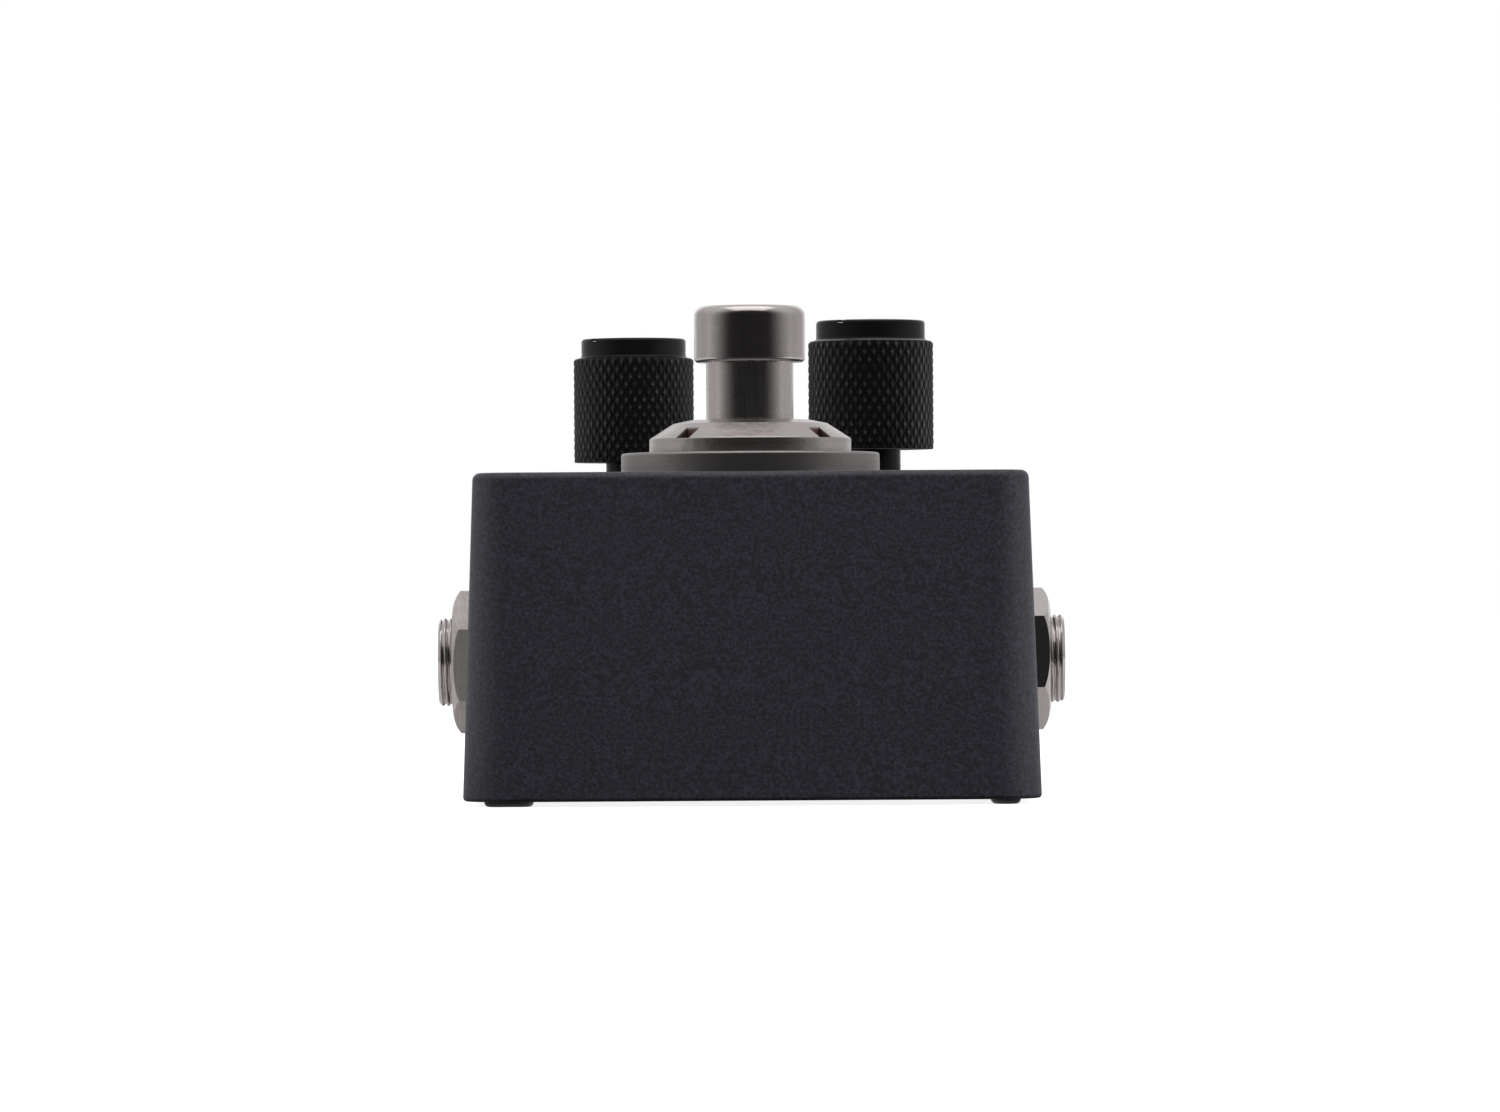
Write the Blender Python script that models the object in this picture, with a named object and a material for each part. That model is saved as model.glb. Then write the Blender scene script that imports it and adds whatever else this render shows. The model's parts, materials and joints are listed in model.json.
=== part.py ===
"""Compact stompbox-style volume pedal: a cast box with a plunger footswitch, knurled knobs and side jacks.

+X is the player's right, +Y points from the footswitch end to the far end, and the feet stand on z = 0.
Sizes are in metres, written as millimetres times MM.
"""

import math

import bmesh
import bpy
from mathutils import Matrix, Vector

MM = 0.001

# Clearances
SEAT_GAP = 0.2 * MM
RUN_GAP = 0.3 * MM
MERGE_DEPTH = 0.8 * MM
CUT_PAST = 1.0 * MM

# Fineness and shading of round shapes
ROUND_SIDES = 32
SMALL_SIDES = 16
CORNER_STEPS = 5
FILLET_STEPS = 2
DOME_STEPS = 4
SHARP_ANGLE = math.radians(32.0)

# Cast enclosure
BASE_WIDTH = 58.6 * MM
BASE_LENGTH = 110.0 * MM
BODY_HEIGHT = 33.2 * MM
DRAFT = math.radians(2.0)
CORNER_RADIUS = 5.0 * MM
LEAST_RADIUS = 0.3 * MM
TOP_FILLET = 0.75 * MM
RIM_FILLET = 0.4 * MM
WALL = 2.2 * MM
RIM_WALL = 1.5 * MM
INNER_FILLET = 0.8 * MM

# Base plate, its screws and the posts that take them
PLATE_THICKNESS = 1.5 * MM
PLATE_RECESS = 0.6 * MM
PLATE_EDGE_BREAK = 0.2 * MM
POST_RADIUS = 3.4 * MM
POST_END_OFFSET = 11.5 * MM
BASE_SCREW_RADIUS = 1.45 * MM
BASE_SCREW_LENGTH = 9.0 * MM
BASE_SCREW_HEAD_RADIUS = 2.75 * MM
BASE_SCREW_HEAD_DEPTH = 1.2 * MM

# Cross-head drive, as shares of a screw head's radius and depth
DRIVE_SLOT_SHARE = 0.6
DRIVE_WIDTH_SHARE = 0.18
DRIVE_DEPTH_SHARE = 0.55

# Order of the pieces that stand at the four corners
CORNER_NAMES = ("front_left", "front_right", "rear_left", "rear_right")

# Oblong rubber feet
FOOT_DROP = 0.55 * MM
FOOT_LENGTH = 5.0 * MM
FOOT_WIDTH = 3.0 * MM
FOOT_EDGE_MARGIN = 0.4 * MM
FOOT_FILLET = 0.35 * MM
FOOT_END_ROUNDNESS = 0.98

# Footswitch
SWITCH_SETBACK = 21.0 * MM
STEM_RADIUS = 4.51 * MM
CAP_RADIUS = 5.74 * MM
CAP_HEIGHT = 5.85 * MM
CAP_FILLET = 0.9 * MM
CAP_EDGE_BREAK = 0.4 * MM
PLUNGER_STAND = 5.95 * MM
PLUNGER_TRAVEL = 4.5 * MM
COLLAR_RADIUS = 5.3 * MM
COLLAR_THICKNESS = 1.5 * MM
SPRING_GUIDE_RADIUS = 2.0 * MM
SPRING_GUIDE_LENGTH = 2.6 * MM
BUSHING_RADIUS = 6.0 * MM
BUSHING_SINK = 0.5 * MM
BUSHING_SEAT_DEPTH = 1.0 * MM
DRESS_WASHER_RADIUS = 13.35 * MM
DRESS_WASHER_THICKNESS = 1.85 * MM
DRESS_WASHER_EDGE = 0.3 * MM
DRESS_NUT_RADIUS = 10.42 * MM
DRESS_NUT_TOP_RADIUS = 8.1 * MM
DRESS_NUT_BAND = 1.35 * MM
DRESS_NUT_CONE = 1.6 * MM
DRESS_NUT_CROWN = 0.35 * MM
SPANNER_SLOT_WIDTH = 1.8 * MM
SPANNER_SLOT_INNER_RADIUS = 8.7 * MM
SPANNER_SLOTS = 4
DRESS_NUT_TURN = math.radians(3.0)
LOCK_WASHER_RADIUS = 9.0 * MM
LOCK_WASHER_THICKNESS = 0.5 * MM
INNER_NUT_FLATS = 14.0 * MM
INNER_NUT_THICKNESS = 2.0 * MM
SWITCH_WIDTH = 17.0 * MM
SWITCH_LENGTH = 17.5 * MM
SWITCH_FLOOR = 2.0 * MM
SWITCH_EDGE_BREAK = 0.4 * MM
SPRING_REST_LENGTH = 8.6 * MM
SPRING_RADIUS = 3.4 * MM
SPRING_WIRE_RADIUS = 0.32 * MM
SPRING_TURNS = 5
SPRING_POINTS_PER_TURN = 10
SPRING_SIDES = 5
TERMINAL_PLATE_THICKNESS = 1.0 * MM
TERMINAL_PLATE_MARGIN = 1.2 * MM
TERMINAL_PITCH = 4.8 * MM
TERMINAL_ROWS = 3
LUG_WIDTH = 2.0 * MM
LUG_THICKNESS = 0.7 * MM
LUG_LENGTH = 3.0 * MM

# Circuit board and what it carries, placed from the middle of the board's front edge
BOARD_THICKNESS = 1.6 * MM
BOARD_BELOW_TOP = 11.75 * MM
BOARD_SIDE_GAP = 0.94 * MM
BOARD_SWITCH_GAP = 3.75 * MM
BOARD_REAR_SETBACK = 9.0 * MM
BOARD_POST_RADIUS = 2.6 * MM
BOARD_POST_EDGE = 2.7 * MM
BOARD_POST_SHIFT = 18.3 * MM
BOARD_POST_REAR_EDGE = 12.0 * MM
BOARD_SCREW_RADIUS = 1.1 * MM
BOARD_SCREW_LENGTH = 7.0 * MM
BOARD_SCREW_HEAD_RADIUS = 2.1 * MM
BOARD_SCREW_HEAD_HEIGHT = 1.3 * MM
BOARD_SCREW_CROWN_SHARE = 0.7
CHIP_SIZE = (6.4 * MM, 9.6 * MM, 3.3 * MM)
CHIP_PLACE = (0.0 * MM, 13.5 * MM)
FILM_CAPACITOR_SIZE = (3.0 * MM, 7.2 * MM, 6.0 * MM)
FILM_CAPACITOR_PLACE = (9.5 * MM, 35.5 * MM)
ELECTROLYTIC_RADIUS = 2.5 * MM
ELECTROLYTIC_HEIGHT = 7.0 * MM
ELECTROLYTIC_PLACES = ((5.5 * MM, 50.5 * MM), (-3.5 * MM, 52.5 * MM))
RIBBON_WIDTH = 8.0 * MM
RIBBON_THICKNESS = 0.9 * MM
RIBBON_STEPS = 12

# Knobs and potentiometers
KNOB_RADIUS = 6.625 * MM
KNOB_BARREL_HEIGHT = 11.4 * MM
KNOB_BEVEL_HEIGHT = 0.4 * MM
KNOB_CAP_RADIUS = 5.75 * MM
KNOB_CAP_HEIGHT = 1.8 * MM
KNOB_EDGE_BREAK = 0.3 * MM
KNOB_ROOF = 2.6 * MM
KNOB_SIDE_OFFSET = 12.8 * MM
LEFT_KNOB_Y = 18.0 * MM
RIGHT_KNOB_BEHIND_SWITCH = 18.5 * MM
LEFT_KNOB_LIFT = 2.15 * MM
RIGHT_KNOB_LIFT = 2.8 * MM
LEFT_POINTER_TURN = math.radians(131.0)
RIGHT_POINTER_TURN = math.radians(145.0)
POINTER_WIDTH = 0.8 * MM
POINTER_DEPTH = 0.35 * MM
POINTER_INNER_RADIUS = 2.2 * MM
SET_SCREW_RADIUS = 1.5 * MM
SET_SCREW_HEIGHT = 4.0 * MM
SET_SCREW_SOCKET_RADIUS = 0.75 * MM
SET_SCREW_SOCKET_DEPTH = 1.2 * MM
SHAFT_RADIUS = 3.1 * MM
POT_WIDTH = 9.5 * MM
POT_LENGTH = 11.4 * MM
POT_HEIGHT = 6.5 * MM
POT_NECK_RADIUS = 4.4 * MM
POT_FLOOR = 1.5 * MM

# Quarter-inch jacks
JACK_BEHIND_SWITCH = 25.0 * MM
JACK_BOARD_GAP = 0.65 * MM
JACK_MIDDLE_GAP = 2.4 * MM
JACK_BORE_RADIUS = 3.3 * MM
JACK_BARREL_RADIUS = 4.7 * MM
JACK_BARREL_PAST_NUT = 1.45 * MM
JACK_BARREL_SEAT = 2.0 * MM
JACK_BARREL_EDGE = 0.4 * MM
JACK_NUT_FLATS = 13.2 * MM
JACK_NUT_THICKNESS = 2.1 * MM
JACK_NUT_CHAMFER = math.radians(28.0)
JACK_WASHER_RADIUS = 7.0 * MM
JACK_WASHER_THICKNESS = 0.8 * MM
JACK_HOUSING_WIDTH = 12.5 * MM
JACK_HOUSING_HEIGHT = 11.0 * MM
JACK_HOUSING_END_WALL = 1.0 * MM
JACK_SPOT_FACE_RADIUS = 8.3 * MM
JACK_SPOT_FACE_DEPTH = 0.27 * MM
PLUG_LENGTH = 30.2 * MM
PLUG_TIP_ROOM = 0.7 * MM
LEFT_NUT_TURN = math.radians(-2.5)
RIGHT_NUT_TURN = math.radians(-7.0)
CONTACT_SLOT_WIDTH = 3.6 * MM
CONTACT_SLOT_HEIGHT = 4.3 * MM
CONTACT_SLOT_LENGTH = 17.0 * MM
CONTACT_THICKNESS = 0.4 * MM
CONTACT_BUMP = 1.0 * MM
CONTACT_BUMP_LENGTH = 4.0 * MM

# Power socket in the far wall
POWER_WIDTH = 9.0 * MM
POWER_LENGTH = 14.0 * MM
POWER_HEIGHT = 11.0 * MM
POWER_BORE_RADIUS = 3.2 * MM
POWER_BORE_DEPTH = 9.5 * MM
POWER_BORE_RISE = 4.4 * MM
POWER_PIN_RADIUS = 1.0 * MM
POWER_PIN_SETBACK = 0.8 * MM
POWER_WALL_HOLE_RADIUS = 5.0 * MM

# Status light
LIGHT_BEHIND_SWITCH = 37.0 * MM
LENS_RADIUS = 2.45 * MM
LENS_STAND = 1.5 * MM
LENS_SKIRT = 4.0 * MM
LENS_DOME_DEG = 75.0
BEZEL_WALL = 0.6 * MM
BEZEL_FLANGE_RADIUS = 4.1 * MM
BEZEL_FLANGE_HEIGHT = 0.8 * MM
BEZEL_TAIL = 1.0 * MM

# Heights and places that follow from the sizes above
RIM_Z = FOOT_DROP
TOP_Z = RIM_Z + BODY_HEIGHT
INNER_TOP_Z = TOP_Z - WALL
PLATE_BOTTOM_Z = RIM_Z + PLATE_RECESS
PLATE_TOP_Z = PLATE_BOTTOM_Z + PLATE_THICKNESS
LEDGE_Z = PLATE_TOP_Z + SEAT_GAP
BOARD_TOP_Z = TOP_Z - BOARD_BELOW_TOP
BOARD_BOTTOM_Z = BOARD_TOP_Z - BOARD_THICKNESS
PLATE_INSET = RIM_WALL + RUN_GAP
SWITCH_Y = SWITCH_SETBACK - BASE_LENGTH / 2
SWITCH_AXIS = Vector((0.0, SWITCH_Y, 0.0))
BOARD_FRONT_Y = SWITCH_Y + SWITCH_LENGTH / 2 + BOARD_SWITCH_GAP
BOARD_REAR_Y = BASE_LENGTH / 2 - BOARD_REAR_SETBACK
RIGHT_KNOB_Y = SWITCH_Y + RIGHT_KNOB_BEHIND_SWITCH
JACK_Y = SWITCH_Y + JACK_BEHIND_SWITCH
JACK_HEIGHT = BOARD_BOTTOM_Z - JACK_BOARD_GAP - JACK_HOUSING_HEIGHT / 2
LIGHT_PLACE = (0.0, SWITCH_Y + LIGHT_BEHIND_SWITCH)


def inset_at(height):
    """How far the drafted outer wall stands in from the base outline at a height."""
    return (height - RIM_Z) * math.tan(DRAFT)


def outer_half_width(height):
    return BASE_WIDTH / 2 - inset_at(height)


def outer_half_length(height):
    return BASE_LENGTH / 2 - inset_at(height)


POST_X = outer_half_width(TOP_Z) - WALL + MERGE_DEPTH - POST_RADIUS
POST_Y = BASE_LENGTH / 2 - POST_END_OFFSET
BOARD_WIDTH = 2 * (POST_X - POST_RADIUS - BOARD_SIDE_GAP)


# Scene and materials
def clear_scene():
    for old in list(bpy.data.objects):
        bpy.data.objects.remove(old, do_unlink=True)


def finish(name, colour, roughness, metallic=0.0):
    """A Principled material, made once for each name."""
    made = bpy.data.materials.get(name)
    if made is None:
        made = bpy.data.materials.new(name)
        made.use_nodes = True
        shader = made.node_tree.nodes["Principled BSDF"]
        shader.inputs["Base Color"].default_value = (*colour, 1.0)
        shader.inputs["Roughness"].default_value = roughness
        shader.inputs["Metallic"].default_value = metallic
        made.diffuse_color = (*colour, 1.0)
    return made


def powder_coat():
    return finish("graphite_powder_coat", (0.022, 0.021, 0.028), 0.55)


def nickel():
    return finish("nickel_plate", (0.55, 0.52, 0.50), 0.3, 1.0)


def black_metal():
    return finish("black_anodised_aluminium", (0.010, 0.010, 0.011), 0.45, 0.4)


def black_steel():
    return finish("black_oxide_steel", (0.02, 0.02, 0.02), 0.4, 0.8)


def rubber():
    return finish("black_rubber", (0.015, 0.015, 0.015), 0.7)


def black_plastic():
    return finish("black_moulded_plastic", (0.015, 0.015, 0.017), 0.5)


def brass():
    return finish("tinned_brass", (0.6, 0.52, 0.33), 0.35, 1.0)


def green_laminate():
    return finish("green_board_laminate", (0.01, 0.10, 0.04), 0.45)


def body_empty(name, place):
    """The empty that one body's pieces hang from, placed on its joint axis."""
    empty = bpy.data.objects.new(name, None)
    bpy.context.scene.collection.objects.link(empty)
    empty.location = place
    return empty


def add_piece(name, shape, coat, place=(0.0, 0.0, 0.0), turn=None, body=None):
    """Links a mesh as one named object at a place in the pedal's frame, hung from its body's empty."""
    bmesh.ops.recalc_face_normals(shape, faces=shape.faces)
    mesh = bpy.data.meshes.new(name)
    shape.to_mesh(mesh)
    shape.free()
    mesh.shade_smooth()
    mesh.set_sharp_from_angle(angle=SHARP_ANGLE)
    piece = bpy.data.objects.new(name, mesh)
    bpy.context.scene.collection.objects.link(piece)
    if coat is not None:
        mesh.materials.append(coat)
    piece.location = Vector(place)
    if turn is not None:
        piece.rotation_euler = turn
    if body is not None:
        piece.parent = body
        piece.location = Vector(place) - body.location
    return piece


def apply_boolean(target, tool, operation):
    """Cuts, joins or trims the target with a helper that stays out of the render."""
    tool.hide_render = True
    tool.display_type = "WIRE"
    change = target.modifiers.new(tool.name, "BOOLEAN")
    change.operation = operation
    change.solver = "EXACT"
    change.object = tool


def cut(target, name, shape, place=(0.0, 0.0, 0.0), turn=None):
    apply_boolean(target, add_piece(name, shape, None, place, turn), "DIFFERENCE")


def join(target, name, shape, place=(0.0, 0.0, 0.0), turn=None):
    apply_boolean(target, add_piece(name, shape, None, place, turn), "UNION")


def trim(target, name, shape, place=(0.0, 0.0, 0.0), turn=None):
    apply_boolean(target, add_piece(name, shape, None, place, turn), "INTERSECT")


# Shapes
def skin(rings, closed=False):
    """A mesh over rings of equally many points, with flat ends unless the rings close on themselves."""
    shape = bmesh.new()
    loops = [[shape.verts.new(point) for point in ring] for ring in rings]
    pairs = list(zip(loops, loops[1:]))
    if closed:
        pairs.append((loops[-1], loops[0]))
    else:
        shape.faces.new(reversed(loops[0]))
        shape.faces.new(loops[-1])
    for lower, upper in pairs:
        for index in range(len(lower)):
            after = (index + 1) % len(lower)
            shape.faces.new((lower[index], lower[after], upper[after], upper[index]))
    return shape


def circle(radius, height, sides, phase=0.0):
    step = 2 * math.pi / sides
    return [
        (radius * math.cos(phase + step * k), radius * math.sin(phase + step * k), height)
        for k in range(sides)
    ]


def turned(profile, sides=ROUND_SIDES, closed=False):
    """A profile of (radius, height) points turned about Z."""
    return skin([circle(radius, height, sides) for radius, height in profile], closed)


def rod(radius, low, high, sides=ROUND_SIDES):
    return turned([(radius, low), (radius, high)], sides)


def tube(inner, outer, low, high, sides=ROUND_SIDES):
    return turned([(inner, low), (outer, low), (outer, high), (inner, high)], sides, closed=True)


def arc(radius_centre, height_centre, radius, first_deg, last_deg, steps=FILLET_STEPS):
    """Points of a fillet in a turned profile, from one angle to another."""
    points = []
    for step in range(steps + 1):
        angle = math.radians(first_deg + (last_deg - first_deg) * step / steps)
        across = radius_centre + radius * math.cos(angle)
        points.append((across, height_centre + radius * math.sin(angle)))
    return points


def block(width, length, height, edge=0.0):
    """A box standing on z = 0, centred in X and Y, with its edges broken."""
    shape = bmesh.new()
    move = Matrix.Translation((0.0, 0.0, height / 2)) @ Matrix.Diagonal((width, length, height, 1.0))
    bmesh.ops.create_cube(shape, size=1.0, matrix=move)
    if edge > 0.0:
        bmesh.ops.bevel(shape, geom=shape.edges[:], offset=edge, segments=1, affect="EDGES")
    return shape


def blocks(sizes_and_places):
    """Several boxes in one helper mesh, each (width, length, height) on the point under its middle."""
    shape = bmesh.new()
    for (width, length, height), (x, y, z) in sizes_and_places:
        grow = Matrix.Diagonal((width, length, height, 1.0))
        move = Matrix.Translation((x, y, z + height / 2)) @ grow
        bmesh.ops.create_cube(shape, size=1.0, matrix=move)
    return shape


def hexagon(flats, height, turn=0.0):
    return circle(flats / math.sqrt(3.0), height, 6, turn)


def rounded_outline(half_width, half_length, radius, height):
    """A rectangle with round corners, as points at one height."""
    points = []
    for quarter, (side, end) in enumerate(((1, 1), (-1, 1), (-1, -1), (1, -1))):
        for step in range(CORNER_STEPS + 1):
            angle = math.pi / 2 * (quarter + step / CORNER_STEPS)
            x = side * (half_width - radius) + radius * math.cos(angle)
            y = end * (half_length - radius) + radius * math.sin(angle)
            points.append((x, y, height))
    return points


def body_outline(inset, height):
    """The enclosure's plan, drawn in by an inset."""
    radius = max(CORNER_RADIUS - inset, LEAST_RADIUS)
    return rounded_outline(BASE_WIDTH / 2 - inset, BASE_LENGTH / 2 - inset, radius, height)


def quarter_steps():
    return [math.pi / 2 * step / FILLET_STEPS for step in range(FILLET_STEPS + 1)]


# Enclosure and base
def enclosure_outside():
    rings = []
    for angle in quarter_steps():
        height = RIM_Z + RIM_FILLET * (1 - math.cos(angle))
        rings.append(body_outline(RIM_FILLET * (1 - math.sin(angle)) + inset_at(height), height))
    for angle in quarter_steps():
        height = TOP_Z - TOP_FILLET * (1 - math.sin(angle))
        rings.append(body_outline(TOP_FILLET * (1 - math.cos(angle)) + inset_at(height), height))
    return skin(rings)


def enclosure_inside():
    """The rebate for the base plate and, above its ledge, the drafted cavity with a filleted roof."""
    rings = [body_outline(RIM_WALL, RIM_Z - CUT_PAST), body_outline(RIM_WALL, LEDGE_Z)]
    rings.append(body_outline(inset_at(LEDGE_Z) + WALL, LEDGE_Z))
    for angle in quarter_steps():
        height = INNER_TOP_Z - INNER_FILLET * (1 - math.sin(angle))
        rings.append(body_outline(INNER_FILLET * (1 - math.cos(angle)) + inset_at(height) + WALL, height))
    return skin(rings)


def base_posts():
    return [(side * POST_X, end * POST_Y) for end in (-1, 1) for side in (-1, 1)]


def board_posts():
    """Under the board's corners, clear of the jacks and of the two potentiometers."""
    side = BOARD_WIDTH / 2 - BOARD_POST_EDGE
    front = BOARD_FRONT_Y + BOARD_POST_EDGE
    rear = BOARD_REAR_Y - BOARD_POST_REAR_EDGE
    return [(-side, front), (side, front + BOARD_POST_SHIFT), (-side, rear), (side, rear)]


def make_enclosure(body):
    box = add_piece("enclosure", enclosure_outside(), powder_coat(), body=body)
    cut(box, "cut_inside", enclosure_inside())
    post_top = INNER_TOP_Z + MERGE_DEPTH
    for count, (x, y) in enumerate(base_posts()):
        post = rod(POST_RADIUS, LEDGE_Z + SEAT_GAP, post_top, SMALL_SIDES)
        join(box, f"add_base_post_{count}", post, (x, y, 0.0))
        hole = rod(BASE_SCREW_RADIUS + RUN_GAP, RIM_Z, base_screw_tip() + CUT_PAST, SMALL_SIDES)
        cut(box, f"cut_base_post_{count}", hole, (x, y, 0.0))
    for count, (x, y) in enumerate(board_posts()):
        post = rod(BOARD_POST_RADIUS, BOARD_TOP_Z + SEAT_GAP, post_top, SMALL_SIDES)
        join(box, f"add_board_post_{count}", post, (x, y, 0.0))
        hole = rod(BOARD_SCREW_RADIUS + RUN_GAP, BOARD_TOP_Z, board_screw_tip() + CUT_PAST / 2, SMALL_SIDES)
        cut(box, f"cut_board_post_{count}", hole, (x, y, 0.0))
    through_roof = (INNER_TOP_Z - CUT_PAST, TOP_Z + CUT_PAST)
    cut(box, "cut_switch_hole", rod(BUSHING_RADIUS + RUN_GAP, *through_roof), SWITCH_AXIS)
    for knob in knobs():
        cut(box, f"cut_{knob['name']}_hole", rod(SHAFT_RADIUS + RUN_GAP, *through_roof), knob["axis"])
    cut(box, "cut_light_hole", rod(bezel_outer_radius() + RUN_GAP, *through_roof), (*LIGHT_PLACE, 0.0))
    for jack in jacks():
        hole = rod(JACK_BARREL_RADIUS + RUN_GAP, jack_wall_x() - 2 * WALL, jack_wall_x() + WALL)
        cut(box, f"cut_{jack['name']}_hole", hole, jack["centre"], jack["turn"])
        spot = rod(JACK_SPOT_FACE_RADIUS, jack_seat_x(), jack_seat_x() + WALL)
        cut(box, f"cut_{jack['name']}_seat", spot, jack["centre"], jack["turn"])
    rear = outer_half_length(power_height())
    hole = rod(POWER_WALL_HOLE_RADIUS, rear - 2 * WALL, rear + WALL)
    cut(box, "cut_power_hole", hole, (0.0, 0.0, power_height()), FACE_REAR)


def base_screw_tip():
    return PLATE_BOTTOM_Z + BASE_SCREW_LENGTH


def make_base_plate(body):
    low = [body_outline(PLATE_INSET + PLATE_EDGE_BREAK, PLATE_BOTTOM_Z)]
    low.append(body_outline(PLATE_INSET, PLATE_BOTTOM_Z + PLATE_EDGE_BREAK))
    high = [body_outline(PLATE_INSET, PLATE_TOP_Z)]
    plate = add_piece("base_plate", skin(low + high), powder_coat(), body=body)
    for count, (x, y) in enumerate(base_posts()):
        cut(plate, f"cut_plate_screw_{count}", countersunk_shape(RUN_GAP, CUT_PAST), (x, y, PLATE_BOTTOM_Z))


def countersunk_shape(grow, past):
    """A countersunk screw with its flat head at z = 0 and its tip up, grown all round for its hole."""
    head = BASE_SCREW_HEAD_RADIUS + grow
    shank = BASE_SCREW_RADIUS + grow
    tip = BASE_SCREW_LENGTH + past
    profile = [(head, -past), (head, 0.0), (shank, BASE_SCREW_HEAD_DEPTH), (shank, tip)]
    return turned(profile if past else profile[1:], SMALL_SIDES)


def cross_recess(head_radius, depth):
    """The two crossed slots of a cross-head drive, as one twelve-cornered prism."""
    reach = head_radius * DRIVE_SLOT_SHARE
    half = head_radius * DRIVE_WIDTH_SHARE
    quarter = [(reach, -half), (reach, half), (half, half)]
    points = []
    for count in range(4):
        spin = Matrix.Rotation(math.pi / 2 * count, 2)
        points += [tuple(spin @ Vector(point)) for point in quarter]
    return skin([[(x, y, -CUT_PAST) for x, y in points], [(x, y, depth) for x, y in points]])


def make_base_screws(body):
    for corner, (x, y) in zip(CORNER_NAMES, base_posts()):
        name = f"base_screw_{corner}"
        screw = add_piece(name, countersunk_shape(0.0, 0.0), black_steel(), (x, y, PLATE_BOTTOM_Z), body=body)
        recess = cross_recess(BASE_SCREW_HEAD_RADIUS, BASE_SCREW_HEAD_DEPTH * DRIVE_DEPTH_SHARE)
        cut(screw, f"cut_{name}", recess, (x, y, PLATE_BOTTOM_Z))


def foot_shape(half_x, half_y):
    radius = FOOT_END_ROUNDNESS * min(half_x, half_y)
    rings = []
    for angle in quarter_steps():
        draw_in = FOOT_FILLET * (1 - math.sin(angle))
        height = FOOT_FILLET * (1 - math.cos(angle))
        rings.append(rounded_outline(half_x - draw_in, half_y - draw_in, radius - draw_in, height))
    rings.append(rounded_outline(half_x, half_y, radius, PLATE_BOTTOM_Z - SEAT_GAP))
    return skin(rings)


def make_feet(body):
    """Oblong pads set round the base like a pinwheel, their outer edges in line with the plate's."""
    long_in_x = (True, False, False, True)
    signs = ((-1, -1), (1, -1), (-1, 1), (1, 1))
    reach_x = BASE_WIDTH / 2 - PLATE_INSET - FOOT_EDGE_MARGIN
    reach_y = BASE_LENGTH / 2 - PLATE_INSET - FOOT_EDGE_MARGIN
    for corner, lengthwise, (side, end) in zip(CORNER_NAMES, long_in_x, signs):
        half_x, half_y = FOOT_LENGTH / 2, FOOT_WIDTH / 2
        if not lengthwise:
            half_x, half_y = half_y, half_x
        place = (side * (reach_x - half_x), end * (reach_y - half_y), 0.0)
        add_piece(f"rubber_foot_{corner}", foot_shape(half_x, half_y), rubber(), place, body=body)


# Footswitch
def switch_stack():
    """Heights of the footswitch's clamped stack, from the roof of the box up and down."""
    washer_low = TOP_Z + SEAT_GAP
    nut_low = washer_low + DRESS_WASHER_THICKNESS + SEAT_GAP
    nut_top = nut_low + DRESS_NUT_BAND + DRESS_NUT_CONE + DRESS_NUT_CROWN
    lock_low = INNER_TOP_Z - SEAT_GAP - LOCK_WASHER_THICKNESS
    inner_nut_low = lock_low - SEAT_GAP - INNER_NUT_THICKNESS
    housing_top = inner_nut_low - SEAT_GAP
    bushing_low = housing_top - BUSHING_SEAT_DEPTH + SEAT_GAP
    collar_top = bushing_low - RUN_GAP
    collar_low = collar_top - COLLAR_THICKNESS
    cavity_floor = collar_low - SPRING_REST_LENGTH - 2 * SEAT_GAP
    housing_low = cavity_floor - SWITCH_FLOOR
    return {
        "washer_low": washer_low,
        "nut_low": nut_low,
        "nut_top": nut_top,
        "lock_low": lock_low,
        "inner_nut_low": inner_nut_low,
        "housing_top": housing_top,
        "bushing_low": bushing_low,
        "collar_top": collar_top,
        "collar_low": collar_low,
        "cavity_floor": cavity_floor,
        "housing_low": housing_low,
    }


def make_switch_body(body):
    stack = switch_stack()
    depth = stack["housing_top"] - stack["housing_low"]
    place = (0.0, SWITCH_Y, stack["housing_low"])
    shape = block(SWITCH_WIDTH, SWITCH_LENGTH, depth, SWITCH_EDGE_BREAK)
    housing = add_piece("footswitch_housing", shape, black_plastic(), place, body=body)
    seat = stack["bushing_low"] - SEAT_GAP
    bore = [
        (COLLAR_RADIUS + RUN_GAP, stack["cavity_floor"]),
        (COLLAR_RADIUS + RUN_GAP, seat),
        (BUSHING_RADIUS + RUN_GAP, seat),
        (BUSHING_RADIUS + RUN_GAP, stack["housing_top"] + CUT_PAST),
    ]
    cut(housing, "cut_switch_cavity", turned(bore), SWITCH_AXIS)
    bushing = tube(
        STEM_RADIUS + RUN_GAP, BUSHING_RADIUS, stack["bushing_low"], stack["nut_top"] - BUSHING_SINK
    )
    add_piece("footswitch_bushing", bushing, nickel(), SWITCH_AXIS, body=body)
    lock_high = stack["lock_low"] + LOCK_WASHER_THICKNESS
    lock = tube(BUSHING_RADIUS + SEAT_GAP, LOCK_WASHER_RADIUS, stack["lock_low"], lock_high)
    add_piece("footswitch_lock_washer", lock, nickel(), SWITCH_AXIS, body=body)
    inner_high = stack["inner_nut_low"] + INNER_NUT_THICKNESS
    hexes = [hexagon(INNER_NUT_FLATS, stack["inner_nut_low"]), hexagon(INNER_NUT_FLATS, inner_high)]
    inner_nut = add_piece("footswitch_inner_nut", skin(hexes), nickel(), SWITCH_AXIS, body=body)
    thread = rod(BUSHING_RADIUS + SEAT_GAP, stack["inner_nut_low"] - CUT_PAST, inner_high + CUT_PAST)
    cut(inner_nut, "cut_inner_nut_thread", thread, SWITCH_AXIS)


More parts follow.
